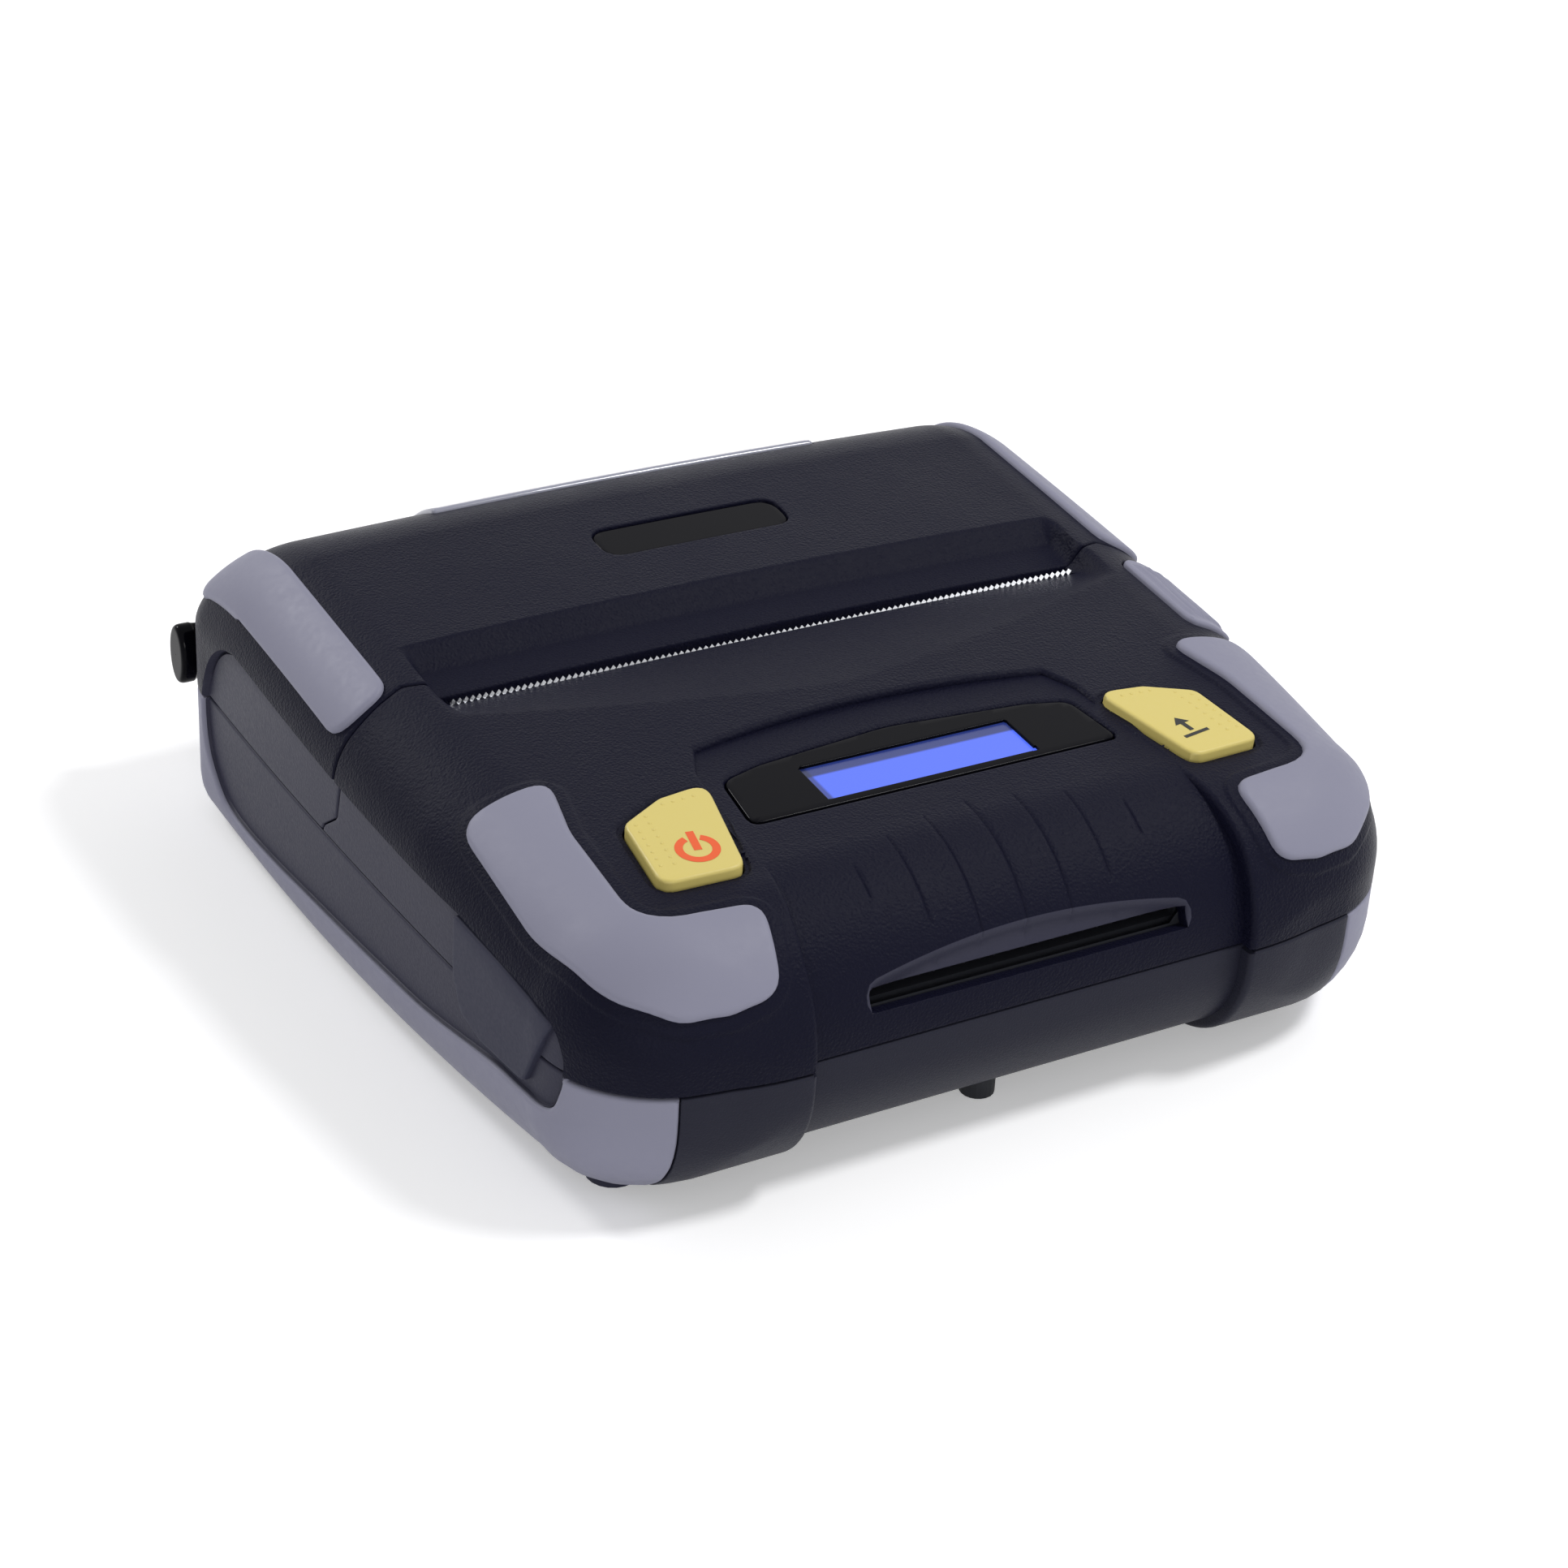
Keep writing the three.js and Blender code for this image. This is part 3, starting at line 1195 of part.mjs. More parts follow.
function batterySolid() {
  const b = battery;
  const l = batteryLatch;
  const shape = roundedShape([
    [-b.halfWidth, b.frontY], [b.halfWidth, b.frontY], [b.halfWidth, b.backY], [-b.halfWidth, b.backY],
  ], b.edge);
  const pack = join(prismZ(shape, band.underZ - band.underRadius, b.highZ), batteryTab(0));
  const notch = box(-l.halfWidth - running, l.halfWidth + running, b.frontY - overrun, b.frontY + l.tongue + running,
    l.lowZ - running, l.lowZ + l.thickness + running);
  return cut(pack, notch);
}

function batteryLatchSolid() {
  const l = batteryLatch;
  const top = l.lowZ + l.thickness;
  const plate = box(-l.halfWidth, l.halfWidth, l.frontY, l.backY, l.lowZ, top);
  const tongueHalf = l.halfWidth - rib;
  const tongue = box(-tongueHalf, tongueHalf, l.backY - seam, battery.frontY + l.tongue, l.lowZ, top);
  const nub = rodZ(l.nubRadius, l.nubZ, l.lowZ + seam, 0, l.nubY);
  return join(plate, tongue, nub);
}

function contactSolid() {
  const c = contact;
  const backY = battery.backY - c.width;
  const lowZ = battery.highZ + rib + seam;
  const half = (c.count / 2) * c.pitch;
  const blades = [];
  for (let i = 0; i < c.count; i += 1) {
    const x = (i - (c.count - 1) / 2) * c.pitch;
    blades.push(box(x - c.width / 2, x + c.width / 2, backY - c.depth, backY + c.thickness, lowZ, mainBoard.z));
  }
  const holder = box(-half, half, backY - c.depth, backY, lowZ + c.thickness, mainBoard.z - c.thickness);
  return join(holder, ...blades);
}

// Fasteners and feet

function screwSolid(x, y) {
  const headTop = body.floorZ + screw.floor + screw.headHeight - seam;
  const head = rodZ(screw.headRadius, headTop - screw.headHeight, headTop, x, y, roundSteps - roundSteps / 4);
  return join(head, rodZ(screw.shankRadius, headTop - seam, screw.topZ, x, y, roundSteps / 2));
}

const footSolid = (x, y) => rodZ(foot.radius, 0, body.floorZ + foot.seat, x, y);

// Colours of the moulded and metal parts

const look = {
  blackCase: { color: 0x1b1c22, roughness: 0.55, metalness: 0 },
  greyRubber: { color: 0x82828f, roughness: 0.6, metalness: 0 },
  yellowRubber: { color: 0xdecf76, roughness: 0.5, metalness: 0 },
  glossBlack: { color: 0x0d0d12, roughness: 0.12, metalness: 0 },
  blueScreen: { color: 0x3f63ff, roughness: 0.3, metalness: 0 },
  smokyWindow: { color: 0x8c8fa8, roughness: 0.15, metalness: 0 },
  steel: { color: 0xb9bcc2, roughness: 0.3, metalness: 1 },
  aluminium: { color: 0xa9adb3, roughness: 0.4, metalness: 1 },
  darkRubber: { color: 0x202024, roughness: 0.8, metalness: 0 },
  blackPlastic: { color: 0x24252b, roughness: 0.6, metalness: 0 },
  whiteNylon: { color: 0xe4e2da, roughness: 0.5, metalness: 0 },
  greenBoard: { color: 0x1f6b3a, roughness: 0.45, metalness: 0 },
  ceramic: { color: 0xd8d6cf, roughness: 0.35, metalness: 0 },
  brass: { color: 0xc8a24a, roughness: 0.35, metalness: 1 },
};

// The assembly

const printer = new THREE.Group();

function add(name, solid, material) {
  const mesh = new THREE.Mesh(toGeometry(solid), new THREE.MeshStandardMaterial(look[material]));
  mesh.name = name;
  mesh.geometry.computeVertexNormals();
  printer.add(mesh);
  return mesh;
}

add('lower_housing', baseHousing(), 'blackCase');
add('upper_housing', frontHousing(), 'blackCase');
add('cover_shell', coverShell(), 'blackCase');
add('cover_window', windowLayer(coverWindow.sink, coverWindow.sink + coverWindow.thickness, 0), 'smokyWindow');
add('cover_badge', common(prismZ(badgeOutline, coverBumper.lowZ, highZ),
  cut(hull(badge.sink), hull(badge.sink + badge.thickness))), 'glossBlack');
for (const [word, side] of [['left', -1], ['right', 1]]) {
  add(`lower_bumper_${word}`, lowerBumperSolid(side), 'greyRubber');
  add(`front_bumper_${word}`, topBumper(frontBumperOutline, frontBumper, body.partingZ, side), 'greyRubber');
  add(`cover_bumper_${word}`, topBumper(coverBumperOutline, coverBumper, coverBumper.lowZ, side), 'greyRubber');
  add(`strap_post_${word}`, strapPost(side), 'glossBlack');
  add(`head_spring_${word}`, springSolid(side), 'steel');
  add(`platen_bearing_${word}`, bearingSolid(side), 'whiteNylon');
}
add('lcd_lens', bandLayer(lensOutline, 0, lens.thickness), 'glossBlack');
add('lcd_module', displaySolid(), 'blueScreen');
add('keypad_board', keypadSolid(), 'greenBoard');
add('power_button', buttonSolid(-1), 'yellowRubber');
add('feed_button', buttonSolid(1), 'yellowRubber');
add('release_button', releaseSolid(), 'greyRubber');
add('release_latch', latchSolid(), 'steel');
add('tear_bar', tearBarSolid(), 'steel');
add('print_head', printHeadSolid(), 'ceramic');
add('head_heatsink', heatsinkSolid(), 'aluminium');
add('head_bracket', headBracketSolid(), 'steel');
add('platen_roller', rollerSolid(), 'darkRubber');
add('platen_shaft', rodX(platen.shaftRadius, -platen.shaftEnd, platen.shaftEnd, platen.y, platen.z), 'steel');
add('platen_gear', gearWheel(gear.platenTeeth, phases.platenPhase, platen, platen.shaftRadius + seam / 2), 'whiteNylon');
add('idler_gear', gearWheel(gear.idlerTeeth, phases.idlerPhase, idler, idlerPin.radius + seam / 2), 'whiteNylon');
add('motor_pinion', gearWheel(gear.pinionTeeth, phases.pinionPhase, pinion, motor.shaftRadius + seam / 2), 'brass');
add('stepper_motor', motorSolid(), 'steel');
add('gear_plate', gearPlateSolid(), 'steel');
add('paper_trough', troughSolid(), 'blackPlastic');
add('card_reader', readerSolid(), 'blackPlastic');
add('main_board', boardSolid(), 'greenBoard');
add('comm_port', portSolid(), 'steel');
add('comm_flap', flapSolid(), 'darkRubber');
add('battery_pack', batterySolid(), 'blackPlastic');
add('battery_latch', batteryLatchSolid(), 'blackPlastic');
add('battery_contacts', contactSolid(), 'brass');
add('hinge_pin', rodX(hinge.pinRadius, -hinge.baseInnerX - hinge.baseWidth - hinge.coverWidth,
  hinge.baseInnerX + hinge.baseWidth + hinge.coverWidth, hinge.y, hinge.z), 'steel');
cornerSpots(screw).forEach(({ word, x, y }) => add(`housing_screw_${word}`, screwSolid(x, y), 'steel'));
cornerSpots(foot).forEach(({ word, x, y }) => add(`rubber_foot_${word}`, footSolid(x, y), 'darkRubber'));

export default printer;
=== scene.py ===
"""Looks of the portable receipt printer: case shells, rubber parts, display, keys and paper path."""

import math
from collections import namedtuple

import bpy
import numpy as np
from mathutils import Matrix, Vector


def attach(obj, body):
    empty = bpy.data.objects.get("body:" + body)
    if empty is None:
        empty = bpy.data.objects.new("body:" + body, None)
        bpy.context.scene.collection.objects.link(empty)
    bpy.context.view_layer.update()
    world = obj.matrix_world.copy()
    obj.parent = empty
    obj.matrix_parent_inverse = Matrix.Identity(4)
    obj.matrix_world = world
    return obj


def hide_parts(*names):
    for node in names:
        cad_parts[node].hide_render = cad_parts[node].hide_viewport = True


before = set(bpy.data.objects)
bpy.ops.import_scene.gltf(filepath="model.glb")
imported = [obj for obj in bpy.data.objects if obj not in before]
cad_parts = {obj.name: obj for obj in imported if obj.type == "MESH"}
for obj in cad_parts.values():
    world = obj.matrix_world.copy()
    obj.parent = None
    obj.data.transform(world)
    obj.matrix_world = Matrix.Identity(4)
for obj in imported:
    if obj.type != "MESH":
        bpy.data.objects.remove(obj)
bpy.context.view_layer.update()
scene = bpy.context.scene

MM = 0.001
SEAM = 0.3          # visible joint between fitted pieces
WALL = 2.6          # case wall
RIM = 2.4           # how far a piece's edge turns inwards
EDGE = 0.45         # rounded edge of the moulded pieces
GRID = 1.25         # spacing of the skin's base grid
INNER_GRID = 2.6    # spacing of the grid of the inner faces
FAR = 9.0           # value of a field where it does not count
SPLIT_ANGLE = math.radians(50)
SIDES = (("left", -1), ("right", 1))

# Case form: the arcs of the solids, with the rounder front corners of the photo

FRONT_Y = -77.8
FLOOR_Z, PARTING_Z, WAIST_Z = 0.8, 23.7, 35.2
FRONT_ROLL_Y, FRONT_ROLL_Z, FRONT_ROLL_R = -57.8, 26.4, 20.0
CROWN_Y, CROWN_Z, REAR_ROLL_R = 49.5, 26.3, 28.0
UNDER_FRONT_Y, UNDER_FRONT_Z, UNDER_FRONT_R = -57.9, 20.7, 19.9
UNDER_REAR_Y, UNDER_REAR_Z, UNDER_REAR_R = 62.5, 15.8, 15.0
WIDEST_HALF, WIDEST_Y, BARREL = 77.8, 42.5, 0.000426
FRONT_CORNER_X, FRONT_CORNER_Y, FRONT_CORNER_R, BOW_X = 52.8, -55.0, 21.0, 39.0
FRONT_UNDER_ROLL, UNDER_GROW_Y, FRONT_WAIST_Z, WAIST_DROP_Y = 14.0, 40.0, 28.0, -20.0
REAR_CORNER_Y, REAR_CORNER_R = 62.5, 15.0
SIDE_ROLL, CROWN_DROP, UNDER_ROLL = 18.0, 1.0, 6.0
WAIST_SHARE, UNDER_SHARE = 0.738, 0.35

BAND_ARCH_Y, BAND_ARCH_X, BAND_ARCH_END_Y = -21.9, 31.5, -25.2
BAND_KNEE, BAND_LENS_END, BAND_SIDE = (34.1, -31.0), (36.1, -57.7), (38.3, -72.0)
BAND_ARCH_DROP, BAND_ROLL_DROP = 1.2, 0.5
BAND_ROLL_Y, BAND_ROLL_R = -53.2, 22.0
BAND_UNDER_Y, BAND_UNDER_Z, BAND_UNDER_R, BAND_UNDER_END = -57.2, 20.0, 18.0, 60.0


def arc_drop(radius, away):
    return np.sqrt(np.maximum(radius ** 2 - away ** 2, 0))


def deck_z(y):
    rise = (CROWN_Z + REAR_ROLL_R - FRONT_ROLL_Z - FRONT_ROLL_R) / (CROWN_Y - FRONT_ROLL_Y)
    return FRONT_ROLL_Z + FRONT_ROLL_R + rise * (y - FRONT_ROLL_Y)


def top_z(y, inset):
    front = FRONT_ROLL_Z + arc_drop(FRONT_ROLL_R - inset, y - FRONT_ROLL_Y)
    rear = CROWN_Z + arc_drop(REAR_ROLL_R - inset, y - CROWN_Y)
    return np.where(y < FRONT_ROLL_Y, front, np.where(y > CROWN_Y, rear, deck_z(y) - inset))


def bottom_z(y, inset):
    front = UNDER_FRONT_Z - arc_drop(UNDER_FRONT_R - inset, y - UNDER_FRONT_Y)
    rear = UNDER_REAR_Z - arc_drop(UNDER_REAR_R - inset, y - UNDER_REAR_Y)
    return np.where(y < UNDER_FRONT_Y, front, np.where(y > UNDER_REAR_Y, rear, FLOOR_Z + inset))


def side_x(y):
    return WIDEST_HALF - BARREL * (y - WIDEST_Y) ** 2


def half_width(y, inset):
    corner_y = FRONT_CORNER_Y - FRONT_CORNER_R
    share = np.maximum(y - FRONT_Y - inset, 0) / (corner_y - FRONT_Y)
    bow = BOW_X + (FRONT_CORNER_X - BOW_X) * np.sqrt(share)
    front = FRONT_CORNER_X + arc_drop(FRONT_CORNER_R - inset, y - FRONT_CORNER_Y)
    rear_x = side_x(REAR_CORNER_Y) - REAR_CORNER_R
    rear = rear_x + arc_drop(REAR_CORNER_R - inset, y - REAR_CORNER_Y)
    middle = np.where(y > REAR_CORNER_Y, rear, side_x(y) - inset)
    return np.where(y < corner_y + inset, bow, np.where(y < FRONT_CORNER_Y, front, middle))


def corner_share(y, start_y):
    """How far a change that runs to the front corner has come, from 0 to 1."""
    return np.clip((start_y - y) / (start_y - FRONT_CORNER_Y), 0, 1)


def under_roll(y):
    return UNDER_ROLL + (FRONT_UNDER_ROLL - UNDER_ROLL) * corner_share(y, UNDER_GROW_Y) ** 2


def waist_z(y, low, high):
    waist = WAIST_Z + (FRONT_WAIST_Z - WAIST_Z) * corner_share(y, WAIST_DROP_Y)
    return np.minimum(waist, low + WAIST_SHARE * (high - low))


def surface_z(x, y):
    """Height of the upper case surface over a place in plan."""
    low, high, half = bottom_z(y, 0), top_z(y, 0), half_width(y, 0)
    waist = waist_z(y, low, high)
    shoulder = half - SIDE_ROLL
    deck = high - CROWN_DROP * (x / shoulder) ** 2
    away = np.clip((np.abs(x) - shoulder) / SIDE_ROLL, 0, 1)
    side = waist + (high - CROWN_DROP - waist) * np.sqrt(1 - away ** 2)
    return np.where(np.abs(x) < shoulder, deck, side)


def join(*parts):
    return np.concatenate(parts)


def spread(start, end, step):
    return np.linspace(start, end, max(int(abs(end - start) / step), 2) + 1)


Skin = namedtuple("Skin", "points normals faces")    # a triangle mesh, with outward normals, in millimetres


def lattice_faces(rows, columns, wrap_rows=False, wrap_columns=False):
    """Two triangles for each cell between the points of a lattice."""
    row = np.arange(rows if wrap_rows else rows - 1)[:, None] * columns
    column = np.arange(columns if wrap_columns else columns - 1)[None, :]
    next_row, next_column = (row + columns) % (rows * columns), (column + 1) % columns
    cells = [row + column, row + next_column, next_row + next_column, next_row + column]
    quads = np.stack(cells, -1).reshape(-1, 4)
    return join(quads[:, [0, 1, 2]], quads[:, [0, 2, 3]])


def grid_normals(points, rows, columns):
    grid = points.reshape(rows, columns, 3)
    along, across = np.gradient(grid, axis=0), np.gradient(grid, axis=1)
    normals = np.cross(across, along).reshape(-1, 3)
    size = np.linalg.norm(normals, axis=1, keepdims=True)
    return normals / np.maximum(size, 1e-9)


FRONT_CAP_SHARES, REAR_CAP_SHARES = (0.2, 0.6, 0.9), (0.9, 0.7, 0.5, 0.3, 0.1)
ROLL_STEP_SHARE = 1.4


def cap_rows(row, shares):
    """Rows that close an end of the case, from flat to the full cross section."""
    middle = (row[0, 2] + row[-1, 2]) / 2
    rows = np.repeat(row[None], len(shares), 0)
    rows[:, :, 2] = middle + (row[:, 2] - middle) * np.array(shares)[:, None]
    return rows


def case_skin(inset=0.0, step=GRID):
    """The whole case form at one inset, as one grid that runs around each cross section."""
    front, rear = FRONT_ROLL_R - inset, REAR_ROLL_R - inset
    turn_front = spread(0, math.pi / 2, step / front)
    turn_rear = spread(0, math.pi / 2, step / rear)[1:]
    places = join(FRONT_ROLL_Y - front * np.cos(turn_front), spread(FRONT_ROLL_Y, CROWN_Y, step)[1:],
                  CROWN_Y + rear * np.sin(turn_rear))
    low, high, half = bottom_z(places, inset), top_z(places, inset), half_width(places, inset)
    waist = waist_z(places, low, high)
    under = np.minimum(np.maximum(under_roll(places) - inset, inset), UNDER_SHARE * (high - low))
    roll = SIDE_ROLL - inset
    flat = spread(0, 1, step / WIDEST_HALF)[:, None]
    under_turn = spread(0, math.pi / 2, step / UNDER_ROLL)[1:, None]
    side = spread(0, 1, step / WAIST_Z)[1:, None]
    roll_turn = spread(0, math.pi / 2, step / (SIDE_ROLL * ROLL_STEP_SHARE))[1:, None]
    deck = flat[::-1][1:]
    xs = join(
        flat * (half - under), half - under * (1 - np.sin(under_turn)), half + side * 0,
        half - roll * (1 - np.cos(roll_turn)), deck * (half - roll))
    zs = join(
        low + flat * 0, low + under * (1 - np.cos(under_turn)), low + under + side * (waist - low - under),
        waist + (high - CROWN_DROP - waist) * np.sin(roll_turn), high - CROWN_DROP * deck ** 2)
    ring = np.stack([xs, places + xs * 0, zs], -1).transpose(1, 0, 2)
    right = join(cap_rows(ring[0], FRONT_CAP_SHARES), ring, cap_rows(ring[-1], REAR_CAP_SHARES))
    left = right[:, ::-1] * np.array([-1, 1, 1])
    whole = np.concatenate([right, left[:, 1:]], 1)
    rows, columns = whole.shape[:2]
    points = whole.reshape(-1, 3)
    return Skin(points, -grid_normals(points, rows, columns), lattice_faces(rows, columns))


def band_z(y):
    back = deck_z(BAND_ARCH_Y) - BAND_ARCH_DROP
    front = deck_z(BAND_ROLL_Y) - BAND_ROLL_DROP
    return front + (back - front) * (y - BAND_ROLL_Y) / (BAND_ARCH_Y - BAND_ROLL_Y)


def band_skin(inset=0.0, step=GRID):
    """The centre band at one inset, from the arch over the front to the underside."""
    front_z = band_z(BAND_ROLL_Y) - BAND_ROLL_R
    radius, under = BAND_ROLL_R - inset, BAND_UNDER_R - inset
    top = spread(BAND_ARCH_Y + 1, BAND_ROLL_Y, step)[:-1]
    turn = spread(math.pi / 2, math.pi, step / BAND_ROLL_R)
    turn_under = spread(math.pi, math.pi * 1.5, step / BAND_UNDER_R)[1:]
    low = spread(BAND_UNDER_Y, BAND_UNDER_END, step)[1:]
    ys = join(top, BAND_ROLL_Y + radius * np.cos(turn), BAND_UNDER_Y + under * np.cos(turn_under), low)
    zs = join(band_z(top) - inset, front_z + radius * np.sin(turn),
              BAND_UNDER_Z + under * np.sin(turn_under), low * 0 + BAND_UNDER_Z - under)
    xs = spread(BAND_SIDE[0] + 1, -BAND_SIDE[0] - 1, step)
    grid = np.stack(np.broadcast_arrays(xs[None, :], ys[:, None], zs[:, None]), -1)
    points = grid.reshape(-1, 3)
    rows, columns = len(ys), len(xs)
    normals = grid_normals(points, rows, columns)
    if normals[columns // 2, 2] < 0:
        normals = -normals
    return Skin(points, normals, lattice_faces(rows, columns)[:, ::-1])


# Distance fields on the skin: negative inside an outline

def outline_distance(points, outline, axes=(0, 1)):
    """Signed distance to a closed outline, seen along the third axis."""
    spots = points[:, axes]
    best = np.full(len(spots), 1e9)
    inside = np.zeros(len(spots), bool)
    for start, end in zip(outline, np.roll(outline, -1, 0)):
        line = end - start
        share = np.clip(((spots - start) @ line) / max(line @ line, 1e-12), 0, 1)
        best = np.minimum(best, np.linalg.norm(spots - start - share[:, None] * line, axis=1))
        crosses = (start[1] > spots[:, 1]) != (end[1] > spots[:, 1])
        with np.errstate(divide="ignore", invalid="ignore"):
            at = start[0] + (spots[:, 1] - start[1]) * line[0] / line[1]
        inside ^= crosses & (spots[:, 0] < at)
    return np.where(inside, -best, best)


def bend(start, corner, end, share):
    """A place on the curve that leaves the start towards the corner and meets the end from it."""
    return (1 - share) ** 2 * start + 2 * share * (1 - share) * corner + share ** 2 * end


CORNER_POINTS, SIDE_SHARE = 7, 0.49


def eased(corners, radii):
    """A closed outline with each corner rounded by its own radius."""
    corners = np.asarray(corners, float)
    radii = np.broadcast_to(radii, len(corners))
    points = []
    for i, here in enumerate(corners):
        before, after = corners[i - 1] - here, corners[(i + 1) % len(corners)] - here
        long_before, long_after = np.linalg.norm(before), np.linalg.norm(after)
        angle = math.acos(max(-1, min(1, before @ after / (long_before * long_after))))
        reach = min(radii[i] / max(math.tan(angle / 2), 1e-3), SIDE_SHARE * long_before,
                    SIDE_SHARE * long_after)
        start, end = here + before / long_before * reach, here + after / long_after * reach
        for share in np.linspace(0, 1, CORNER_POINTS):
            points.append(bend(start, here, end, share))
    return np.array(points)


def smoothed(points, steps=8):
    """An open curve through the points, as many short lines."""
    spots = np.asarray(points, float)
    last = len(spots) - 1
    made = []
    for i in range(last):
        p0, p1, p2, p3 = (spots[min(max(i + k, 0), last)] for k in (-1, 0, 1, 2))
        for share in np.arange(steps) / steps:
            made.append(0.5 * (2 * p1 + (p2 - p0) * share + (2 * p0 - 5 * p1 + 4 * p2 - p3) * share ** 2
                               + (3 * p1 - p0 - 3 * p2 + p3) * share ** 3))
    return np.array([*made, spots[-1]])


def mirror_outline(outline):
    return np.asarray(outline)[::-1] * np.array([-1, 1])


def abs_x(points):
    """The same places with their distance from the middle for X."""
    return np.abs(points * (1, 0, 0)) + points * (0, 1, 1)


def most(values):
    return np.maximum.reduce(values)


# Cutting a skin along the zero line of a field

CUT_STEPS, CUT_MARGIN = 3, 0.02


def sliced(skin, field):
    """The same skin with new points where its faces cross the zero line."""
    values = field(skin.points)
    values[np.abs(values) < 1e-4] = 0
    sign = np.sign(values)
    tri_sign = sign[skin.faces]
    crossed = (tri_sign.min(1) < 0) & (tri_sign.max(1) > 0)
    if not crossed.any():
        return skin
    hit, rest = skin.faces[crossed], skin.faces[~crossed]
    hit_sign = sign[hit]
    single = (hit_sign != 0).all(1)
    alone = hit_sign == -np.sign(hit_sign.sum(1))[:, None]
    lone = np.where(single, np.argmax(alone, 1), np.argmax(hit_sign == 0, 1))
    turned = np.take_along_axis(hit, (lone[:, None] + np.arange(3)) % 3, 1)
    with_lone, with_zero = turned[single], turned[~single]
    pairs = join(with_lone[:, [0, 1]], with_lone[:, [0, 2]], with_zero[:, [1, 2]])
    keys, where = np.unique(np.sort(pairs, 1), axis=0, return_inverse=True)
    where = where.reshape(-1)
    a, b = keys[:, 0], keys[:, 1]
    share = values[a] / (values[a] - values[b])
    slope = values[b] - values[a]
    slope = np.where(np.abs(slope) < 1e-9, 1e-9, slope)

    def between(ends):
        return ends[a] + (ends[b] - ends[a]) * share[:, None]

    for _ in range(CUT_STEPS):
        share = np.clip(share - field(between(skin.points)) / slope, CUT_MARGIN, 1 - CUT_MARGIN)
    fresh = len(skin.points) + where
    added, added_normals = between(skin.points), between(skin.normals)
    added_normals /= np.maximum(np.linalg.norm(added_normals, axis=1, keepdims=True), 1e-9)
    n = len(with_lone)
    p01, p02, p12 = fresh[:n], fresh[n:2 * n], fresh[2 * n:]
    v0, v1, v2 = with_lone.T
    w0, w1, w2 = with_zero.T
    parts = [rest, np.stack([v0, p01, p02], 1), np.stack([p01, v1, v2], 1), np.stack([p01, v2, p02], 1),
             np.stack([w0, w1, p12], 1), np.stack([w0, p12, w2], 1)]
    points, normals = join(skin.points, added), join(skin.normals, added_normals)
    return Skin(points, normals, np.concatenate(parts))


def kept(skin, field):
    """Only the faces on the field's negative side."""
    middle = skin.points[skin.faces].mean(1)
    faces = skin.faces[field(middle) < 0]
    used, back = np.unique(faces, return_inverse=True)
    return Skin(skin.points[used], skin.normals[used], back.reshape(-1, 3))


EDGE_SHARES = (0.0, -0.1, -0.35, -0.65, -1.0)


def clipped(skin, field, ease=EDGE):
    """The part of a skin inside a field, with extra lines for a rounded edge."""
    skin = kept(skin, lambda p: field(p) - 3 * GRID)
    for share in EDGE_SHARES:
        skin = sliced(skin, lambda p: field(p) - share * ease)
    return kept(skin, field)


def trimmed(skin, cuts):
    """The part of a skin inside several fields, each with the size of its rounded edge."""
    for field, ease in cuts:
        skin = clipped(skin, field, ease)
    return skin


def lined(skin, field, levels):
    for level in levels:
        skin = sliced(skin, lambda p: field(p) - level)
    return skin


def edge_drop(distance, ease=EDGE):
    """How far a rounded edge falls, at a distance inside the outline."""
    short = np.clip(ease + distance, 0, ease)
    return ease - np.sqrt(np.maximum(ease ** 2 - short ** 2, 0))


def trim_drop(p, cuts):
    return sum(edge_drop(field(p), ease) for field, ease in cuts)


def ramp(value, start, end):
    share = np.clip((value - start) / (end - start), 0, 1)
    return share * share * (3 - 2 * share)


def with_rim(points, normals, faces, depth):
    """Turns the open edge of a skin inwards along its normals."""
    edges = join(faces[:, [0, 1]], faces[:, [1, 2]], faces[:, [2, 0]])
    _, first, count = np.unique(np.sort(edges, 1), axis=0, return_index=True, return_counts=True)
    edges = edges[first[count == 1]]
    used, back = np.unique(edges, return_inverse=True)
    back = back.reshape(-1, 2)
    fresh = points[used] - normals[used] * depth
    start = len(points)
    a, b = edges.T
    c, d = start + back[:, 1], start + back[:, 0]
    strips = join(np.stack([b, a, d], 1), np.stack([b, d, c], 1))
    return join(points, fresh), join(faces, strips)


def add_object(name, data):
    made = bpy.data.objects.new(name, data)
    scene.collection.objects.link(made)
    return made


def mesh_object(name, points, faces, look, fine=None):
    """A mesh from points in millimetres. The faces marked fine get the finer grain of the case, with a
    lighter colour that is painted light.
    """
    mesh = bpy.data.meshes.new(name)
    mesh.from_pydata((np.asarray(points) * MM).tolist(), [], np.asarray(faces).tolist())
    mesh.shade_smooth()
    mesh.set_sharp_from_angle(angle=SPLIT_ANGLE)
    mesh.materials.append(look)
    if fine is not None:
        mesh.materials.append(CASE_FINE_AND_LIT)
        mesh.polygons.foreach_set("material_index", fine.astype(np.int32))
    return add_object(name, mesh)


def skin_object(name, skin, drop, look, rim, fine_lit_zone=None):
    """A skin sunk along its normals, with its edge turned in and, inside a field, the finer grain of the case
    with its lighter, painted-light colour.
    """
    points, faces = skin.points - skin.normals * drop[:, None], skin.faces
    if rim:
        points, faces = with_rim(points, skin.normals, faces, rim)
    if not fine_lit_zone:
        return mesh_object(name, points, faces, look)
    fine = np.zeros(len(faces), bool)
    fine[:len(skin.faces)] = fine_lit_zone(skin.points[skin.faces].mean(1)) < 0
    return mesh_object(name, points, faces, look, fine)


def place(made, body, slot, *nodes):
    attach(made, body)
    if nodes:
        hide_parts(*nodes)


# Materials

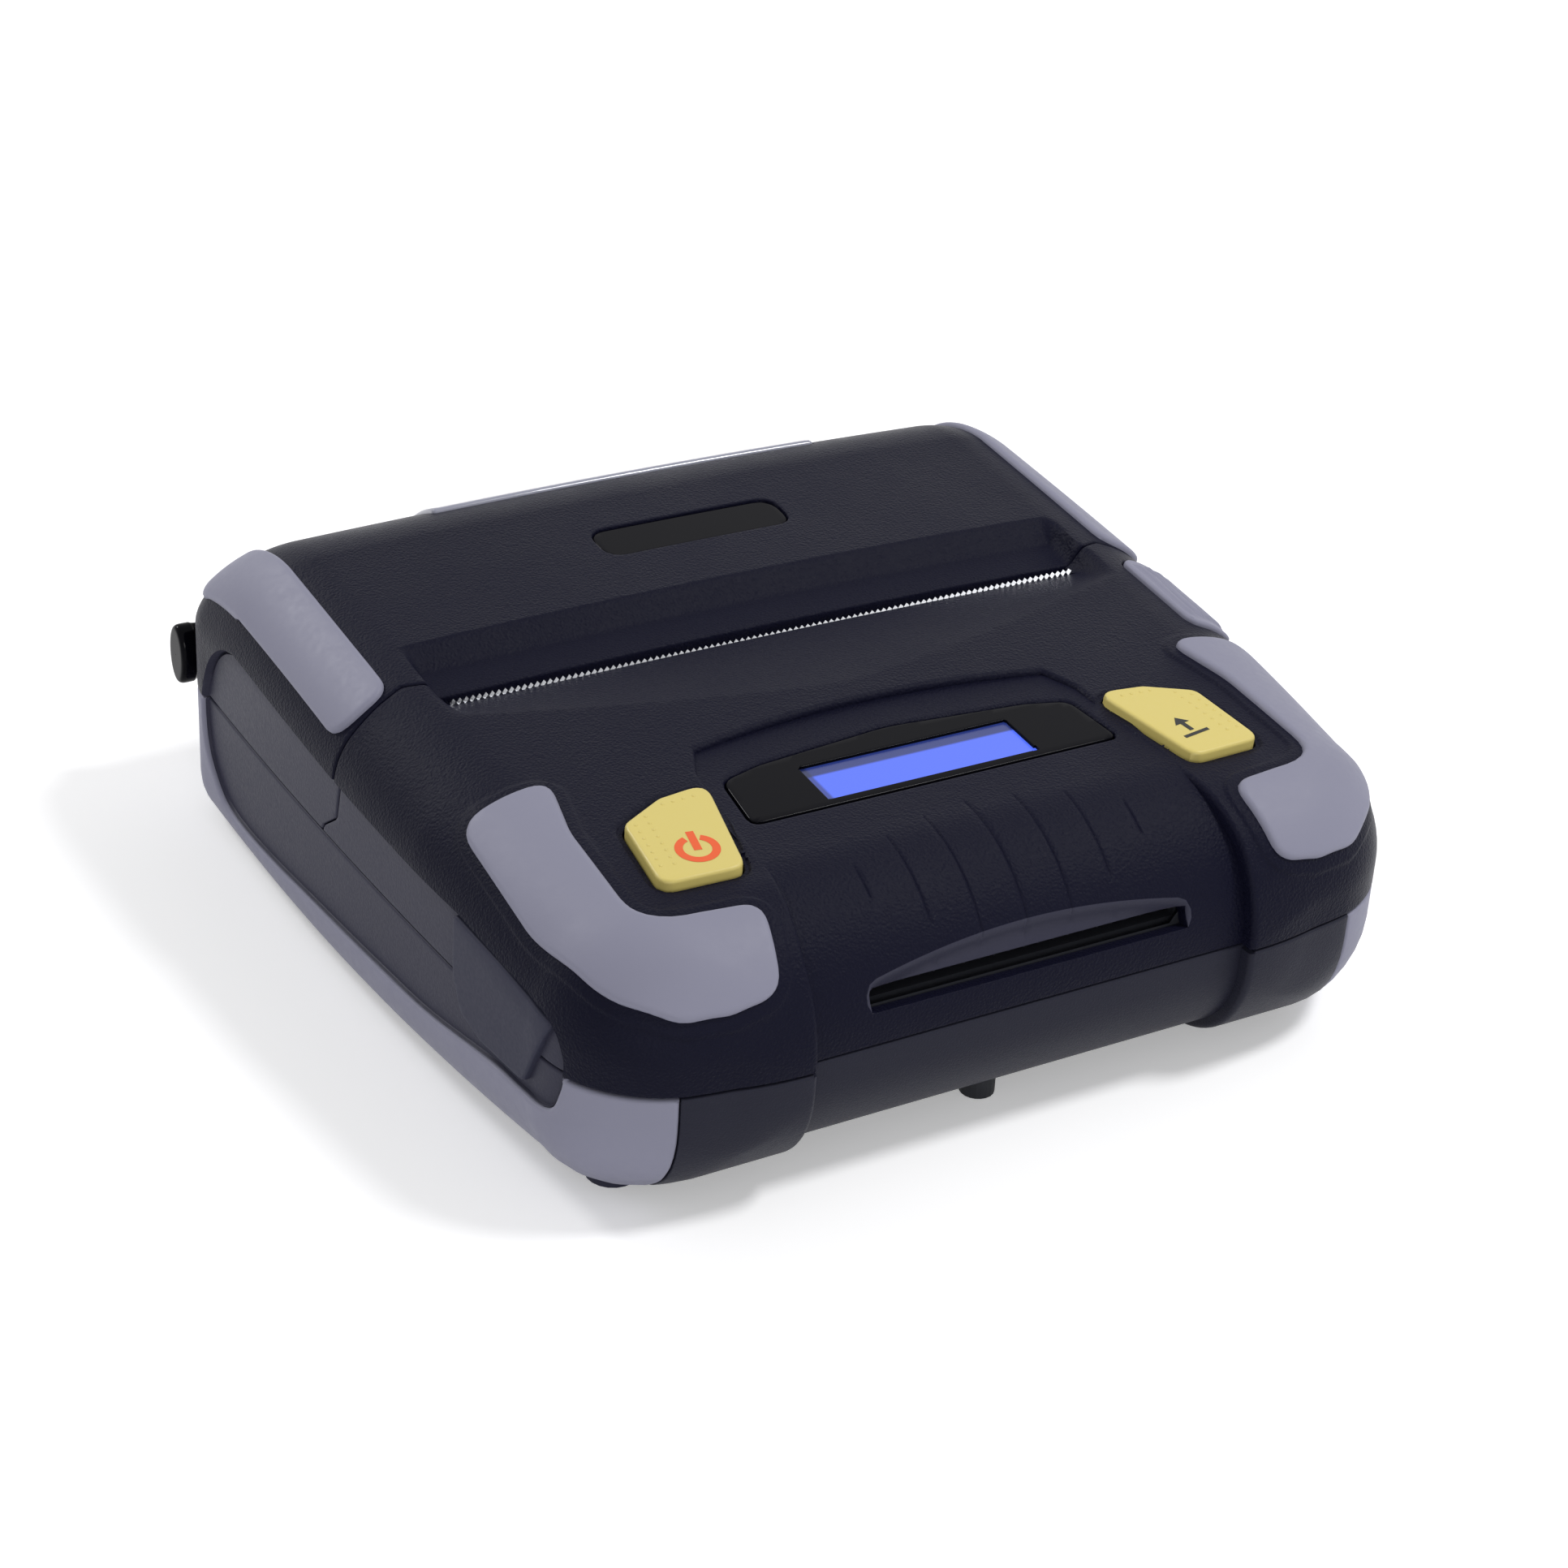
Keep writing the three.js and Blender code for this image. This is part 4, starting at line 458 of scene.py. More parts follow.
def set_inputs(tree, node, values):
    """Each value is a number, a colour or the output of another node."""
    for key, value in values.items():
        if isinstance(value, bpy.types.NodeSocket):
            tree.links.new(value, node.inputs[key])
        else:
            node.inputs[key].default_value = value


def material(name, colour, rough, metal=0.0, coat=0.0, shine=0.5):
    made = bpy.data.materials.new(name)
    made.use_nodes = True
    shader = made.node_tree.nodes["Principled BSDF"]
    set_inputs(made.node_tree, shader, {"Base Color": (*colour, 1), "Roughness": rough, "Metallic": metal,
                                        "Coat Weight": coat, "Specular IOR Level": shine})
    return made, made.node_tree, shader


def add_node(tree, kind, **values):
    node = tree.nodes.new("ShaderNode" + kind)
    set_inputs(tree, node, values)
    return node


def add_maths(tree, operation, *sources):
    node = add_node(tree, "Math")
    node.operation = operation
    for source, socket in zip(sources, node.inputs):
        tree.links.new(source, socket)
    return node.outputs["Value"]


def map_range(tree, source, low, high, to_low, to_high):
    limits = {"From Min": low, "From Max": high, "To Min": to_low, "To Max": to_high}
    return add_node(tree, "MapRange", Value=source, **limits).outputs["Result"]


NOISE_LOW, NOISE_HIGH = 0.3, 0.7    # the noise keeps mostly between these
LEAST_ROUGH = 0.03


def fine_grain(tree, shader, scale, depth, rough, vary, stretch=None):
    """Fine surface grain: a bump, and roughness that follows the same pattern."""
    spot = add_node(tree, "TexCoord").outputs["Object"]
    if stretch:
        spot = add_node(tree, "Mapping", Vector=spot, Scale=stretch).outputs["Vector"]
    pattern = add_node(tree, "TexNoise", Vector=spot, Scale=scale, Detail=3.0, Roughness=0.6).outputs["Fac"]
    bump = add_node(tree, "Bump", Height=pattern, Distance=depth * MM)
    rough = map_range(tree, pattern, NOISE_LOW, NOISE_HIGH, max(rough - vary, LEAST_ROUGH), rough + vary)
    set_inputs(tree, shader, {"Normal": bump.outputs["Normal"], "Roughness": rough})


CELL_SCALE, CELL_SMOOTH, CELL_DEPTH = 2100.0, 0.6, 0.09
WRINKLE_SCALE, WRINKLE_DEPTH, WEAR_SCALE = 2900.0, 0.12, 55.0
WEAR_ROUGH_LOW, WEAR_ROUGH_HIGH = 0.31, 0.4


def leather_material():
    """Moulded case: fine cells with wrinkles on them, worn a little in places."""
    made, tree, shader = material("case_black", (0.006, 0.0062, 0.0165), 0.38, shine=0.055)
    spot = add_node(tree, "TexCoord").outputs["Object"]
    cells = add_node(tree, "TexVoronoi", Vector=spot, Scale=CELL_SCALE)
    cells.feature = "SMOOTH_F1"
    set_inputs(tree, cells, {"Smoothness": CELL_SMOOTH})
    wrinkles = add_node(tree, "TexNoise", Vector=spot, Scale=WRINKLE_SCALE, Detail=3.0, Roughness=0.65)
    wear = add_node(tree, "TexNoise", Vector=spot, Scale=WEAR_SCALE, Detail=4.0, Roughness=0.6)
    first = add_node(tree, "Bump", Height=cells.outputs["Distance"], Distance=CELL_DEPTH * MM)
    second = add_node(tree, "Bump", Height=wrinkles.outputs["Fac"], Normal=first.outputs["Normal"],
                      Distance=WRINKLE_DEPTH * MM)
    rough = map_range(tree, wear.outputs["Fac"], NOISE_LOW, NOISE_HIGH, WEAR_ROUGH_LOW, WEAR_ROUGH_HIGH)
    set_inputs(tree, shader, {"Normal": second.outputs["Normal"], "Roughness": rough})
    return made


def grained(name, colour, rough, scale, depth, metal=0.0, coat=0.0, vary=0.06, shine=0.5, stretch=None):
    made, tree, shader = material(name, colour, rough, metal, coat, shine)
    fine_grain(tree, shader, scale, depth, rough, vary, stretch)
    return made


BRUSH_SCALE, BRUSH_DEPTH, BRUSH_VARY, BRUSH_STRETCH = 900, 0.012, 0.08, (0.05, 1, 1)


def brushed(name, colour, rough):
    """Rolled metal: fine lines along X."""
    return grained(name, colour, rough, BRUSH_SCALE, BRUSH_DEPTH, 1.0, vary=BRUSH_VARY, stretch=BRUSH_STRETCH)


SHADE_Y, SHADE_X, SHADE_WIDTH, SHADE_BACK, SHADE_LEFT = -37.2, -17.2, 0.5, 0.16, 0.3


def screen_material():
    """Lit display: a bright field with a darker edge along its back and left sides."""
    made, tree, shader = material("screen_blue", (0.01, 0.015, 0.05), 0.25)
    spot = add_node(tree, "TexCoord").outputs["Object"]
    axes = add_node(tree, "SeparateXYZ", Vector=spot).outputs
    back = map_range(tree, axes["Y"], SHADE_Y * MM, (SHADE_Y + SHADE_WIDTH) * MM, 1.0, SHADE_BACK)
    left = map_range(tree, axes["X"], (SHADE_X - SHADE_WIDTH) * MM, SHADE_X * MM, SHADE_LEFT, 1.0)
    lit = add_maths(tree, "MULTIPLY", back, left)
    set_inputs(tree, shader, {"Emission Color": (0.075, 0.15, 0.95, 1), "Emission Strength": lit})
    fine_grain(tree, shader, 500, 0.002, 0.25, 0.03)
    return made


CASE = leather_material()
# Finer grain of the side panels and of the brow over the slot; its lighter colour is painted light on these
# faces, which turn to the side and front
CASE_FINE_AND_LIT = grained("case_fine_and_lit", (0.036, 0.036, 0.058), 0.42, 1900, 0.05, shine=0.1)
# Lit copy of the case plastic for the lower case: its lighter colour is painted light on the sides and front
# that face the lamps and the floor
CASE_LOW_LIT = grained("case_low_lit", (0.019, 0.0195, 0.032), 0.42, 2900, 0.08, shine=0.09)
RUBBER = grained("bumper_grey", (0.245, 0.245, 0.322), 0.52, 700, 0.02, shine=0.2)
YELLOW = grained("key_yellow", (0.67, 0.555, 0.17), 0.42, 900, 0.012, shine=0.4)
ORANGE = grained("symbol_orange", (0.80, 0.12, 0.035), 0.45, 900, 0.01, shine=0.3)
INK = grained("symbol_black", (0.02, 0.02, 0.02), 0.5, 900, 0.01, shine=0.3)
GLOSS = grained("gloss_black", (0.002, 0.002, 0.004), 0.1, 160, 0.004, vary=0.03, shine=0.05)
SMOKY = grained("smoky_window", (0.26, 0.265, 0.34), 0.16, 90, 0.002, coat=0.5, vary=0.04)
STEEL = brushed("steel", (0.62, 0.63, 0.66), 0.3)
SCREEN = screen_material()
INNER = grained("inner_black", (0.014, 0.015, 0.02), 0.6, 900, 0.03, shine=0.3)
SOFT = grained("soft_black", (0.036, 0.037, 0.06), 0.5, 1500, 0.02, shine=0.1)
NYLON = grained("nylon", (0.75, 0.73, 0.68), 0.5, 500, 0.01)
BOARD = grained("board_green", (0.02, 0.16, 0.06), 0.4, 300, 0.01)
BRASS = brushed("brass", (0.7, 0.5, 0.18), 0.3)
ALUMINIUM = brushed("aluminium", (0.6, 0.61, 0.63), 0.38)
CERAMIC = grained("ceramic", (0.7, 0.69, 0.66), 0.3, 300, 0.003)
PLATEN = grained("platen_rubber", (0.025, 0.025, 0.027), 0.75, 900, 0.02)

# Fields that part the case: above UPPER_Z a place is on the upper side, above TOP_Z on the top face

UPPER_Z, TOP_Z, JOINT_TOP_Z = 26.0, 40.0, 38.0
SIDE_X, FLAP_X = 55.0, -60.0
TEAR_Y, TEAR_Z, LIP_Y, LIP_Z = 6.0, 47.4, 8.1, 47.5
STEP_LOW_Y, STEP_LOW_Z, STEP_TOP_Y = 14.6, 48.7, 18.9
OUTLET_HALF, OUTLET_FRONT_Y = 58.4, 4.8

JOINT_PLAN = np.array([(58.4, 8.1), (61.6, 7.9), (64.9, 9.2), (66.9, 8.7), (73.1, 7.6)])
JOINT_SIDE = np.array([(-20, 14.4), (23.7, 14.5), (25.2, 13.6), (28.8, 8.8), (35.2, 7.3), (47.4, 8.0)])
JOINT_TURN_START, JOINT_TURN_END = 70.0, 75.0

ARCH_POINTS, BAND_BEYOND = 25, 20
BAND_RIGHT = [BAND_KNEE, BAND_LENS_END, BAND_SIDE, (BAND_SIDE[0], FRONT_Y - BAND_BEYOND)]


def band_outline():
    share = np.linspace(0, 1, ARCH_POINTS)
    xs = -BAND_ARCH_X + 2 * BAND_ARCH_X * share
    ys = bend(BAND_ARCH_END_Y, 2 * BAND_ARCH_Y - BAND_ARCH_END_Y, BAND_ARCH_END_Y, share)
    return join(np.stack([xs, ys], 1), BAND_RIGHT, mirror_outline(BAND_RIGHT))


BAND_OUTLINE = band_outline()


def band_field(p):
    plan = outline_distance(p, BAND_OUTLINE)
    x, y, z = abs_x(p).T
    return np.where(z > FRONT_ROLL_Z, plan, np.maximum(x - BAND_SIDE[0], y - BAND_UNDER_END))


def joint_field(p):
    """Negative in front of the line where the cover meets the front of the case."""
    x, y, z = abs_x(p).T
    plan = np.interp(x, *JOINT_PLAN.T)
    side = np.interp(z, *JOINT_SIDE.T)
    blend = ramp(x, JOINT_TURN_START, JOINT_TURN_END)
    return y - np.where(z > JOINT_TOP_Z, plan * (1 - blend) + side * blend, side)


def on_top(field, low=UPPER_Z):
    return lambda p: np.where(p[:, 2] > low, field(p), FAR)


outlet_field = on_top(lambda p: most([np.abs(p[:, 0]) - OUTLET_HALF, OUTLET_FRONT_Y - p[:, 1]]), TOP_Z)


# Side recess with its flat panel, and a deeper gap along the panel's upper edge

RECESS_DEPTH, RECESS_WALL = 1.2, 0.35
GAP_DEPTH, GAP_START, GAP_END, GAP_LOW_Z, GAP_FULL_Z = 0.9, 0.5, 0.8, 27.0, 31.0
RECESS_LINES = (0, -0.15, -0.35, -0.55, -0.8)
FINE_START = 0.2    # how far inside the recess the fine grain of the upper case starts, with its painted lighter tone
RECESS_CURVE = [
    (-58.6, 32.4), (-60.8, 31.3), (-62.3, 29.7), (-63.2, 27.5), (-63.4, 25.3), (-62.6, 20.6), (-60.3, 16.7),
    (-53.2, 15.6), (-43.7, 15.1), (-23.4, 12.0), (-6.8, 10.8), (17.6, 9.1), (30.9, 7.9), (45.1, 7.0),
    (53.6, 7.6), (58.8, 10.5), (62.4, 15), (63.6, 22.2), (62.2, 27.6), (59.0, 33.0), (54.4, 36.9),
    (50.0, 38.5), (45.0, 38.7), (23.2, 37.6), (5.1, 36.6), (-19.5, 35.7)]
RECESS = join(smoothed(RECESS_CURVE), [(-34, 35.3)])


def recess_field(p):
    return np.where(np.abs(p[:, 0]) > SIDE_X, outline_distance(p, RECESS, (1, 2)), FAR)


def recess_drop(p):
    inside = -recess_field(p)
    wall = ramp(inside, 0.0, RECESS_WALL)
    gap = wall * (1 - ramp(inside, GAP_START, GAP_END)) * ramp(p[:, 2], GAP_LOW_Z, GAP_FULL_Z)
    return RECESS_DEPTH * wall + GAP_DEPTH * gap


# Dip in front of the paper outlet and the step up to the cover

DIP_HALF, DIP_FRONT, DIP_END, DIP_POWER = 60.5, -17.0, -2.5, 1.35
DIP_SIDE_EASE, DIP_BEHIND, SCOOP_SIDE_START, SCOOP_SIDE_END = 3.4, 6, 0.6, 3


def dip_line(x):
    """How far forward the dip reaches at a distance from the middle."""
    share = np.clip(np.abs(x) / DIP_HALF, 0, 1)
    return DIP_FRONT + (DIP_END - DIP_FRONT) * share ** DIP_POWER


dip_field = on_top(lambda p: p[:, 1] - dip_line(p[:, 0]), TOP_Z)


def dip_drop(p):
    x, y, z = abs_x(p).T
    start = dip_line(x)
    front = (deck_z(TEAR_Y) - TEAR_Z) * np.clip((y - start) / (TEAR_Y - start), 0, 1)
    ends = 1 - ramp(x, OUTLET_HALF, OUTLET_HALF + DIP_SIDE_EASE)
    return np.where((z > TOP_Z) & (y < TEAR_Y + DIP_BEHIND), front * ends, 0)


def scoop_drop(p):
    x, y, z = abs_x(p).T
    line = np.interp(y, [LIP_Y, STEP_LOW_Y, STEP_TOP_Y], [LIP_Z, STEP_LOW_Z, deck_z(STEP_TOP_Y)])
    drop = np.maximum(deck_z(y) - line, 0)
    ends = 1 - ramp(x, OUTLET_HALF + SCOOP_SIDE_START, OUTLET_HALF + SCOOP_SIDE_END)
    return np.where((z > TOP_Z) & (y < STEP_TOP_Y), drop * ends, 0)


# Rubber outlines

def unrolled(spots):
    """Plan places as lengths along the surface, over the side roll and the front and rear rolls."""
    x, y = np.abs(spots[:, 0]), spots[:, 1]
    shoulder = half_width(y, 0.0) - SIDE_ROLL
    away = np.clip((x - shoulder) / SIDE_ROLL, 0, 1)
    front = FRONT_ROLL_R * np.arcsin(np.clip((FRONT_ROLL_Y - y) / FRONT_ROLL_R, 0, 1))
    rear = REAR_ROLL_R * np.arcsin(np.clip((y - CROWN_Y) / REAR_ROLL_R, 0, 1))
    along = np.clip(y, FRONT_ROLL_Y, CROWN_Y) - front + rear
    return np.stack([np.minimum(x, shoulder) + SIDE_ROLL * np.arcsin(away), along], 1)


def unrolled_outline(outline, step=2.0):
    """The outline with points added along its straight sides, unrolled."""
    points = []
    for start, end in zip(outline, np.roll(outline, -1, 0)):
        count = max(int(np.linalg.norm(end - start) / step), 1)
        points += [start + (end - start) * i / count for i in range(count)]
    return unrolled(np.array(points))


FRONT_BUMPER = eased(    # in unrolled lengths
    [(56.0, -25.2), (72.2, -25.4), (72.9, -50.5), (69.6, -66.6), (60.4, -75.2), (51.8, -77.5), (43.6, -77.5),
     (41.2, -63.6), (59.4, -61.6), (58.8, -38.0)],
    [3, 5, 20, 14, 10, 10, 4.5, 3.5, 7, 20])
COVER_BUMPER = unrolled_outline(eased([(66.6, 62), (66.6, 8.9), (75.4, 8.9), (75.4, 62)], [1, 4, 4, 1]))
REAR_RUBBER_IN, REAR_RUBBER_OUT, REAR_RUBBER_Y, REAR_RUBBER_LOW_Z = 66.6, 75.6, 50, 41.0
LOWER_RUBBER_IN, LOWER_RUBBER_LOW_Z = 59.3, 2.4
RELEASE = eased([(65.2, -19.6), (74.4, -19.6), (74.4, 2.4), (65.2, 2.4)], 2.6)
RELEASE_LOW_Z = 39.5
KEY = eased([(35.0, -35.2), (43.5, -36.0), (51.3, -39.9), (53.0, -55.4), (39.6, -56.3)],
            [2.6, 4, 2.4, 2.4, 2.6])
BADGE = eased([(-17.5, 31.3), (17.5, 31.3), (17.5, 40), (-17.5, 40)], 3.4)
BUMPER_PROUD, COVER_PROUD, KEY_PROUD, RELEASE_PROUD = 1.3, 1.0, 1.2, 0.7
BUMPER_LAP = 1.0    # how far the case runs on below a bumper


front_bumper_field = on_top(lambda p: outline_distance(unrolled(p), FRONT_BUMPER))
key_field = on_top(lambda p: outline_distance(abs_x(p), KEY))
release_field = on_top(lambda p: outline_distance(p, RELEASE), RELEASE_LOW_Z)
badge_field = on_top(lambda p: outline_distance(p, BADGE))


@on_top
def cover_bumper_field(p):
    x, y, z = abs_x(p).T
    rear = most([REAR_RUBBER_IN - x, x - REAR_RUBBER_OUT, REAR_RUBBER_LOW_Z - z])
    return np.where(y > REAR_RUBBER_Y, rear, outline_distance(unrolled(p), COVER_BUMPER))


def lower_bumper_field(p):
    x, _, z = abs_x(p).T
    return most([LOWER_RUBBER_IN - x, z - PARTING_Z + SEAM, LOWER_RUBBER_LOW_Z - z, -recess_field(p)])


# The case rises a little around the front bumpers and sinks around the keys

PLATEAU_RISE, PLATEAU_LEVELS = 0.35, (1.7, 2.0, 2.3)
MOAT_DEPTH, MOAT_LEVELS = 0.45, (0.95, 1.15, 1.35)


def seat_drop(p):
    plateau = PLATEAU_RISE * (1 - ramp(front_bumper_field(p), PLATEAU_LEVELS[0], PLATEAU_LEVELS[-1]))
    moat = MOAT_DEPTH * (1 - ramp(key_field(p), MOAT_LEVELS[0], MOAT_LEVELS[-1]))
    return moat - plateau


WINDOW_HALF, WINDOW_FRONT, WINDOW_LOW, WINDOW_PROUD = 37.0, 58.9, 34.0, 0.7


def window_field(p):
    x, y, z = abs_x(p).T
    return most([x - WINDOW_HALF, WINDOW_FRONT - y, WINDOW_LOW - z])


FLAP = eased(
    [(-32.8, 34.8), (-46.5, 33.6), (-60.8, 31.4), (-53.8, 17.6), (-41.4, 17.3), (-35.2, 18.9), (-32.8, 24.5)],
    [0.8, 20, 0.6, 1.6, 4, 3, 3])


def flap_field(p):
    return np.where(p[:, 0] < FLAP_X, outline_distance(p, FLAP, (1, 2)), FAR)


# Case shells

hull = case_skin()
hull_inner = case_skin(WALL, INNER_GRID)

BAND_EASE, OUTLET_EASE, SLOT_EASE, LENS_EASE = 0.9, 0.3, 0.15, 0.7
SEAT_EASE, RELEASE_GAP_EASE, FIT_EASE = 0.2, 0.35, 0.3
UPPER_RIM, BAND_RIM, LOWER_BAND_RIM = 4.2, 2.2, 2.0


def upper_case():
    gap = SEAM / 2
    cuts = [(lambda p: PARTING_Z - p[:, 2] + gap / 2, EDGE), (lambda p: joint_field(p) + gap, EDGE),
            (lambda p: -band_field(p), BAND_EASE), (lambda p: -outlet_field(p), OUTLET_EASE),
            (lambda p: SEAM - key_field(p), SEAT_EASE)]
    release_cut = (lambda p: SEAM - release_field(p), RELEASE_GAP_EASE)
    skin = trimmed(kept(hull, lambda p: PARTING_Z - 2 - p[:, 2]), cuts)
    skin = lined(skin, key_field, MOAT_LEVELS)
    skin = lined(skin, front_bumper_field, PLATEAU_LEVELS)
    skin = kept(skin, lambda p: -BUMPER_LAP - front_bumper_field(p))
    skin = clipped(skin, *release_cut)
    skin = lined(skin, recess_field, RECESS_LINES)
    skin = lined(skin, dip_field, (0.0,))
    p = skin.points
    drop = recess_drop(p) + dip_drop(p) + seat_drop(p) + trim_drop(p, [*cuts, release_cut])
    made = skin_object("upper_case_skin", skin, drop, CASE, UPPER_RIM, lambda p: recess_field(p) + FINE_START)
    place(made, "case", "case_plastic", "upper_housing")


LENS = eased(
    [(-32.6, -45.6), (32.6, -45.6), (31.2, -33.6), (24, -31.6), (0, -29.2), (-24, -31.6), (-31.2, -33.6)],
    [1.5, 1.5, 3, 10, 30, 10, 3])
LENS_GAP, BAND_LAP, BAND_PLAN_Z = 0.25, 1.6, 20
SLOT_HALF, SLOT_LOW, SLOT_HIGH, SLOT_BACK = 27.9, 29.1, 32.4, -60.0
BROW_HALF, BROW_END_Z, BROW_MIDDLE_Z, BROW_POINTS = 28.6, 33.9, 36.4, 21
BROW_DEPTH, BROW_START, BROW_FULL = 1.9, -0.2, 2.4
BROW_LINES = (0.25, 0, -0.3, -0.7, -1.2)
GROOVES_BESIDE, GROOVE_PITCH, GROOVE_SPREAD = 3, 7.9, 3.5
GROOVE_PLACES = [i * GROOVE_PITCH for i in range(-GROOVES_BESIDE, GROOVES_BESIDE + 1)]
GROOVE_MIDDLE_Y, GROOVE_REACH, GROOVE_HALF, GROOVE_DEPTH = -63.0, 9.8, 0.32, 0.16


def slot_field(p):
    x, y, z = abs_x(p).T
    return np.where(y < SLOT_BACK, most([x - SLOT_HALF, SLOT_LOW - z, z - SLOT_HIGH]), FAR)


def brow_outline():
    """The scooped brow over the slot: an arched top edge with rounded ends."""
    arch_x = np.linspace(-BROW_HALF + 2, BROW_HALF - 2, BROW_POINTS)
    arch_z = BROW_MIDDLE_Z - (BROW_MIDDLE_Z - BROW_END_Z) * (arch_x / (BROW_HALF - 2)) ** 2
    right = [(BROW_HALF - 0.7, BROW_END_Z - 0.6), (BROW_HALF, BROW_END_Z - 2), (BROW_HALF, SLOT_LOW + 1.5),
             (BROW_HALF - 0.7, SLOT_LOW)]
    return join(mirror_outline(right), np.stack([arch_x, arch_z], 1), right)


BROW = brow_outline()


def brow_field(p):
    return np.where(p[:, 1] < SLOT_BACK, outline_distance(p, BROW, (0, 2)), FAR)


LINE_SHARES = np.array([-1, -0.5, 0, 0.5, 1])


def groove_field(p):
    """Distance to the nearest groove line on the front roll."""
    best = np.full(len(p), FAR)
    for x in GROOVE_PLACES:
        reach = GROOVE_REACH * (1 - (x / GROOVE_PITCH / GROOVE_SPREAD) ** 2)
        along = np.maximum(np.abs(p[:, 1] - GROOVE_MIDDLE_Y) - reach, 0)
        best = np.minimum(best, np.hypot(p[:, 0] - x, along))
    return np.where(p[:, 2] > FRONT_ROLL_Z, best, FAR)


lens_field = on_top(lambda p: outline_distance(p, LENS), FRONT_ROLL_Z)


def band_upper():
    low_cut = (lambda p: PARTING_Z - p[:, 2], EDGE)
    slot_cut = (lambda p: -slot_field(p), SLOT_EASE)
    lens_cut = (lambda p: LENS_GAP - lens_field(p), LENS_EASE)
    skin = clipped(band_skin(), *low_cut)
    skin = kept(skin, lambda p: outline_distance(p, BAND_OUTLINE) - BAND_LAP)
    skin = clipped(skin, *slot_cut)
    skin = lined(skin, brow_field, BROW_LINES)
    for x in GROOVE_PLACES:
        skin = lined(skin, lambda p: p[:, 0] - x, LINE_SHARES * GROOVE_HALF)
    skin = clipped(skin, *lens_cut)
    p = skin.points
    brow = brow_field(p)
    drop = trim_drop(p, [low_cut, slot_cut, lens_cut])
    drop += BROW_DEPTH * ramp(-brow, BROW_START, BROW_FULL) * (brow < BROW_LINES[0])
    drop += GROOVE_DEPTH * (1 - ramp(groove_field(p), 0.0, GROOVE_HALF))
    made = skin_object("front_band_skin", skin, drop, CASE, BAND_RIM, brow_field)
    place(made, "case", "case_plastic")


def lower_case():
    gap = SEAM / 2
    top_cut = (lambda p: p[:, 2] - PARTING_Z + gap, EDGE)
    cuts = [top_cut, (lambda p: -band_field(p), BAND_EASE),
            (lambda p: gap - lower_bumper_field(p), SEAT_EASE)]
    skin = lined(trimmed(hull, cuts), recess_field, RECESS_LINES)
    drop = recess_drop(skin.points) + trim_drop(skin.points, cuts)
    # The lower shell and the lower band get the lit copy of the case plastic, a painted lighter tone
    made = skin_object("lower_case_skin", skin, drop, CASE_LOW_LIT, RIM, recess_field)
    place(made, "case", "case_plastic", "lower_housing")
    band = clipped(band_skin(), *top_cut)
    made = skin_object("lower_band_skin", band, trim_drop(band.points, [top_cut]), CASE_LOW_LIT, LOWER_BAND_RIM)
    place(made, "case", "case_plastic")


def cover():
    gap = SEAM / 2
    cuts = [(lambda p: PARTING_Z + gap - p[:, 2], EDGE), (lambda p: gap - joint_field(p), EDGE),
            (lambda p: gap - window_field(p), FIT_EASE), (lambda p: gap - badge_field(p), FIT_EASE)]
    skin = lined(trimmed(hull, cuts), recess_field, RECESS_LINES)
    skin = lined(skin, lambda p: p[:, 1], (STEP_LOW_Y, STEP_TOP_Y))
    drop = recess_drop(skin.points) + scoop_drop(skin.points) + trim_drop(skin.points, cuts)
    made = skin_object("cover_skin", skin, drop, CASE, RIM, recess_field)
    place(made, "cover", "case_plastic", "cover_shell")


def patch(name, field, proud, ease, look, body, slot, *nodes, side=0, rim):
    """A fitted piece on the case form, proud of it. With a side, only its left or right one."""
    skin = clipped(hull, field, ease)
    if side:
        skin = kept(skin, lambda p: -side * p[:, 0])
    drop = edge_drop(field(skin.points), ease) - proud
    made = skin_object(name, skin, drop, look, rim)
    place(made, body, slot, *nodes)


KEY_SIDES = (("power", -1), ("feed", 1))
KEY_EASE, KEY_RIM, FLAP_EASE, FLAP_RIM = 0.6, 4, 0.5, 1.2
BADGE_SUNK, WINDOW_EASE, BADGE_RIM, WINDOW_RIM = 0.4, 0.7, 1, 1.6
BUMPERS = (("front", front_bumper_field, BUMPER_PROUD, 1.0, "case", 2.0),
           ("cover", cover_bumper_field, COVER_PROUD, 0.8, "cover", 2.0),
           ("lower", lower_bumper_field, 0.0, 0.6, "case", 1.6))


def fitted_pieces():
    for word, side in SIDES:
        for part, field, proud, ease, body, rim in BUMPERS:
            patch(f"{part}_bumper_skin_{word}", field, proud, ease, RUBBER, body, "bumper_rubber",
                  f"{part}_bumper_{word}", side=side, rim=rim)
    for word, side in KEY_SIDES:
        patch(f"{word}_key", key_field, KEY_PROUD, KEY_EASE, YELLOW, f"{word}_key", "button_rubber",
              f"{word}_button", side=side, rim=KEY_RIM)
    release_key()
    patch("port_flap_skin", flap_field, 0.0, FLAP_EASE, SOFT, "port_flap", "soft_black", "comm_flap",
          rim=FLAP_RIM)
    patch("badge_plate", badge_field, -BADGE_SUNK, FIT_EASE, GLOSS, "cover", "gloss_trim", "cover_badge",
          rim=BADGE_RIM)
    patch("window_skin", window_field, WINDOW_PROUD, WINDOW_EASE, SMOKY, "cover", "smoky_window",
          "cover_window", rim=WINDOW_RIM)


RIB_PLACES, RIB_HALF, RIB_HEIGHT = (67.0, 68.9, 70.7, 72.6), 0.75, 0.5
RIB_MIDDLE_Y, RIB_REACH, RIB_WAVE, RIB_WAVES = -8.6, 8.0, 0.35, 0.35
RELEASE_EASE, RELEASE_RIM = 0.6, 3


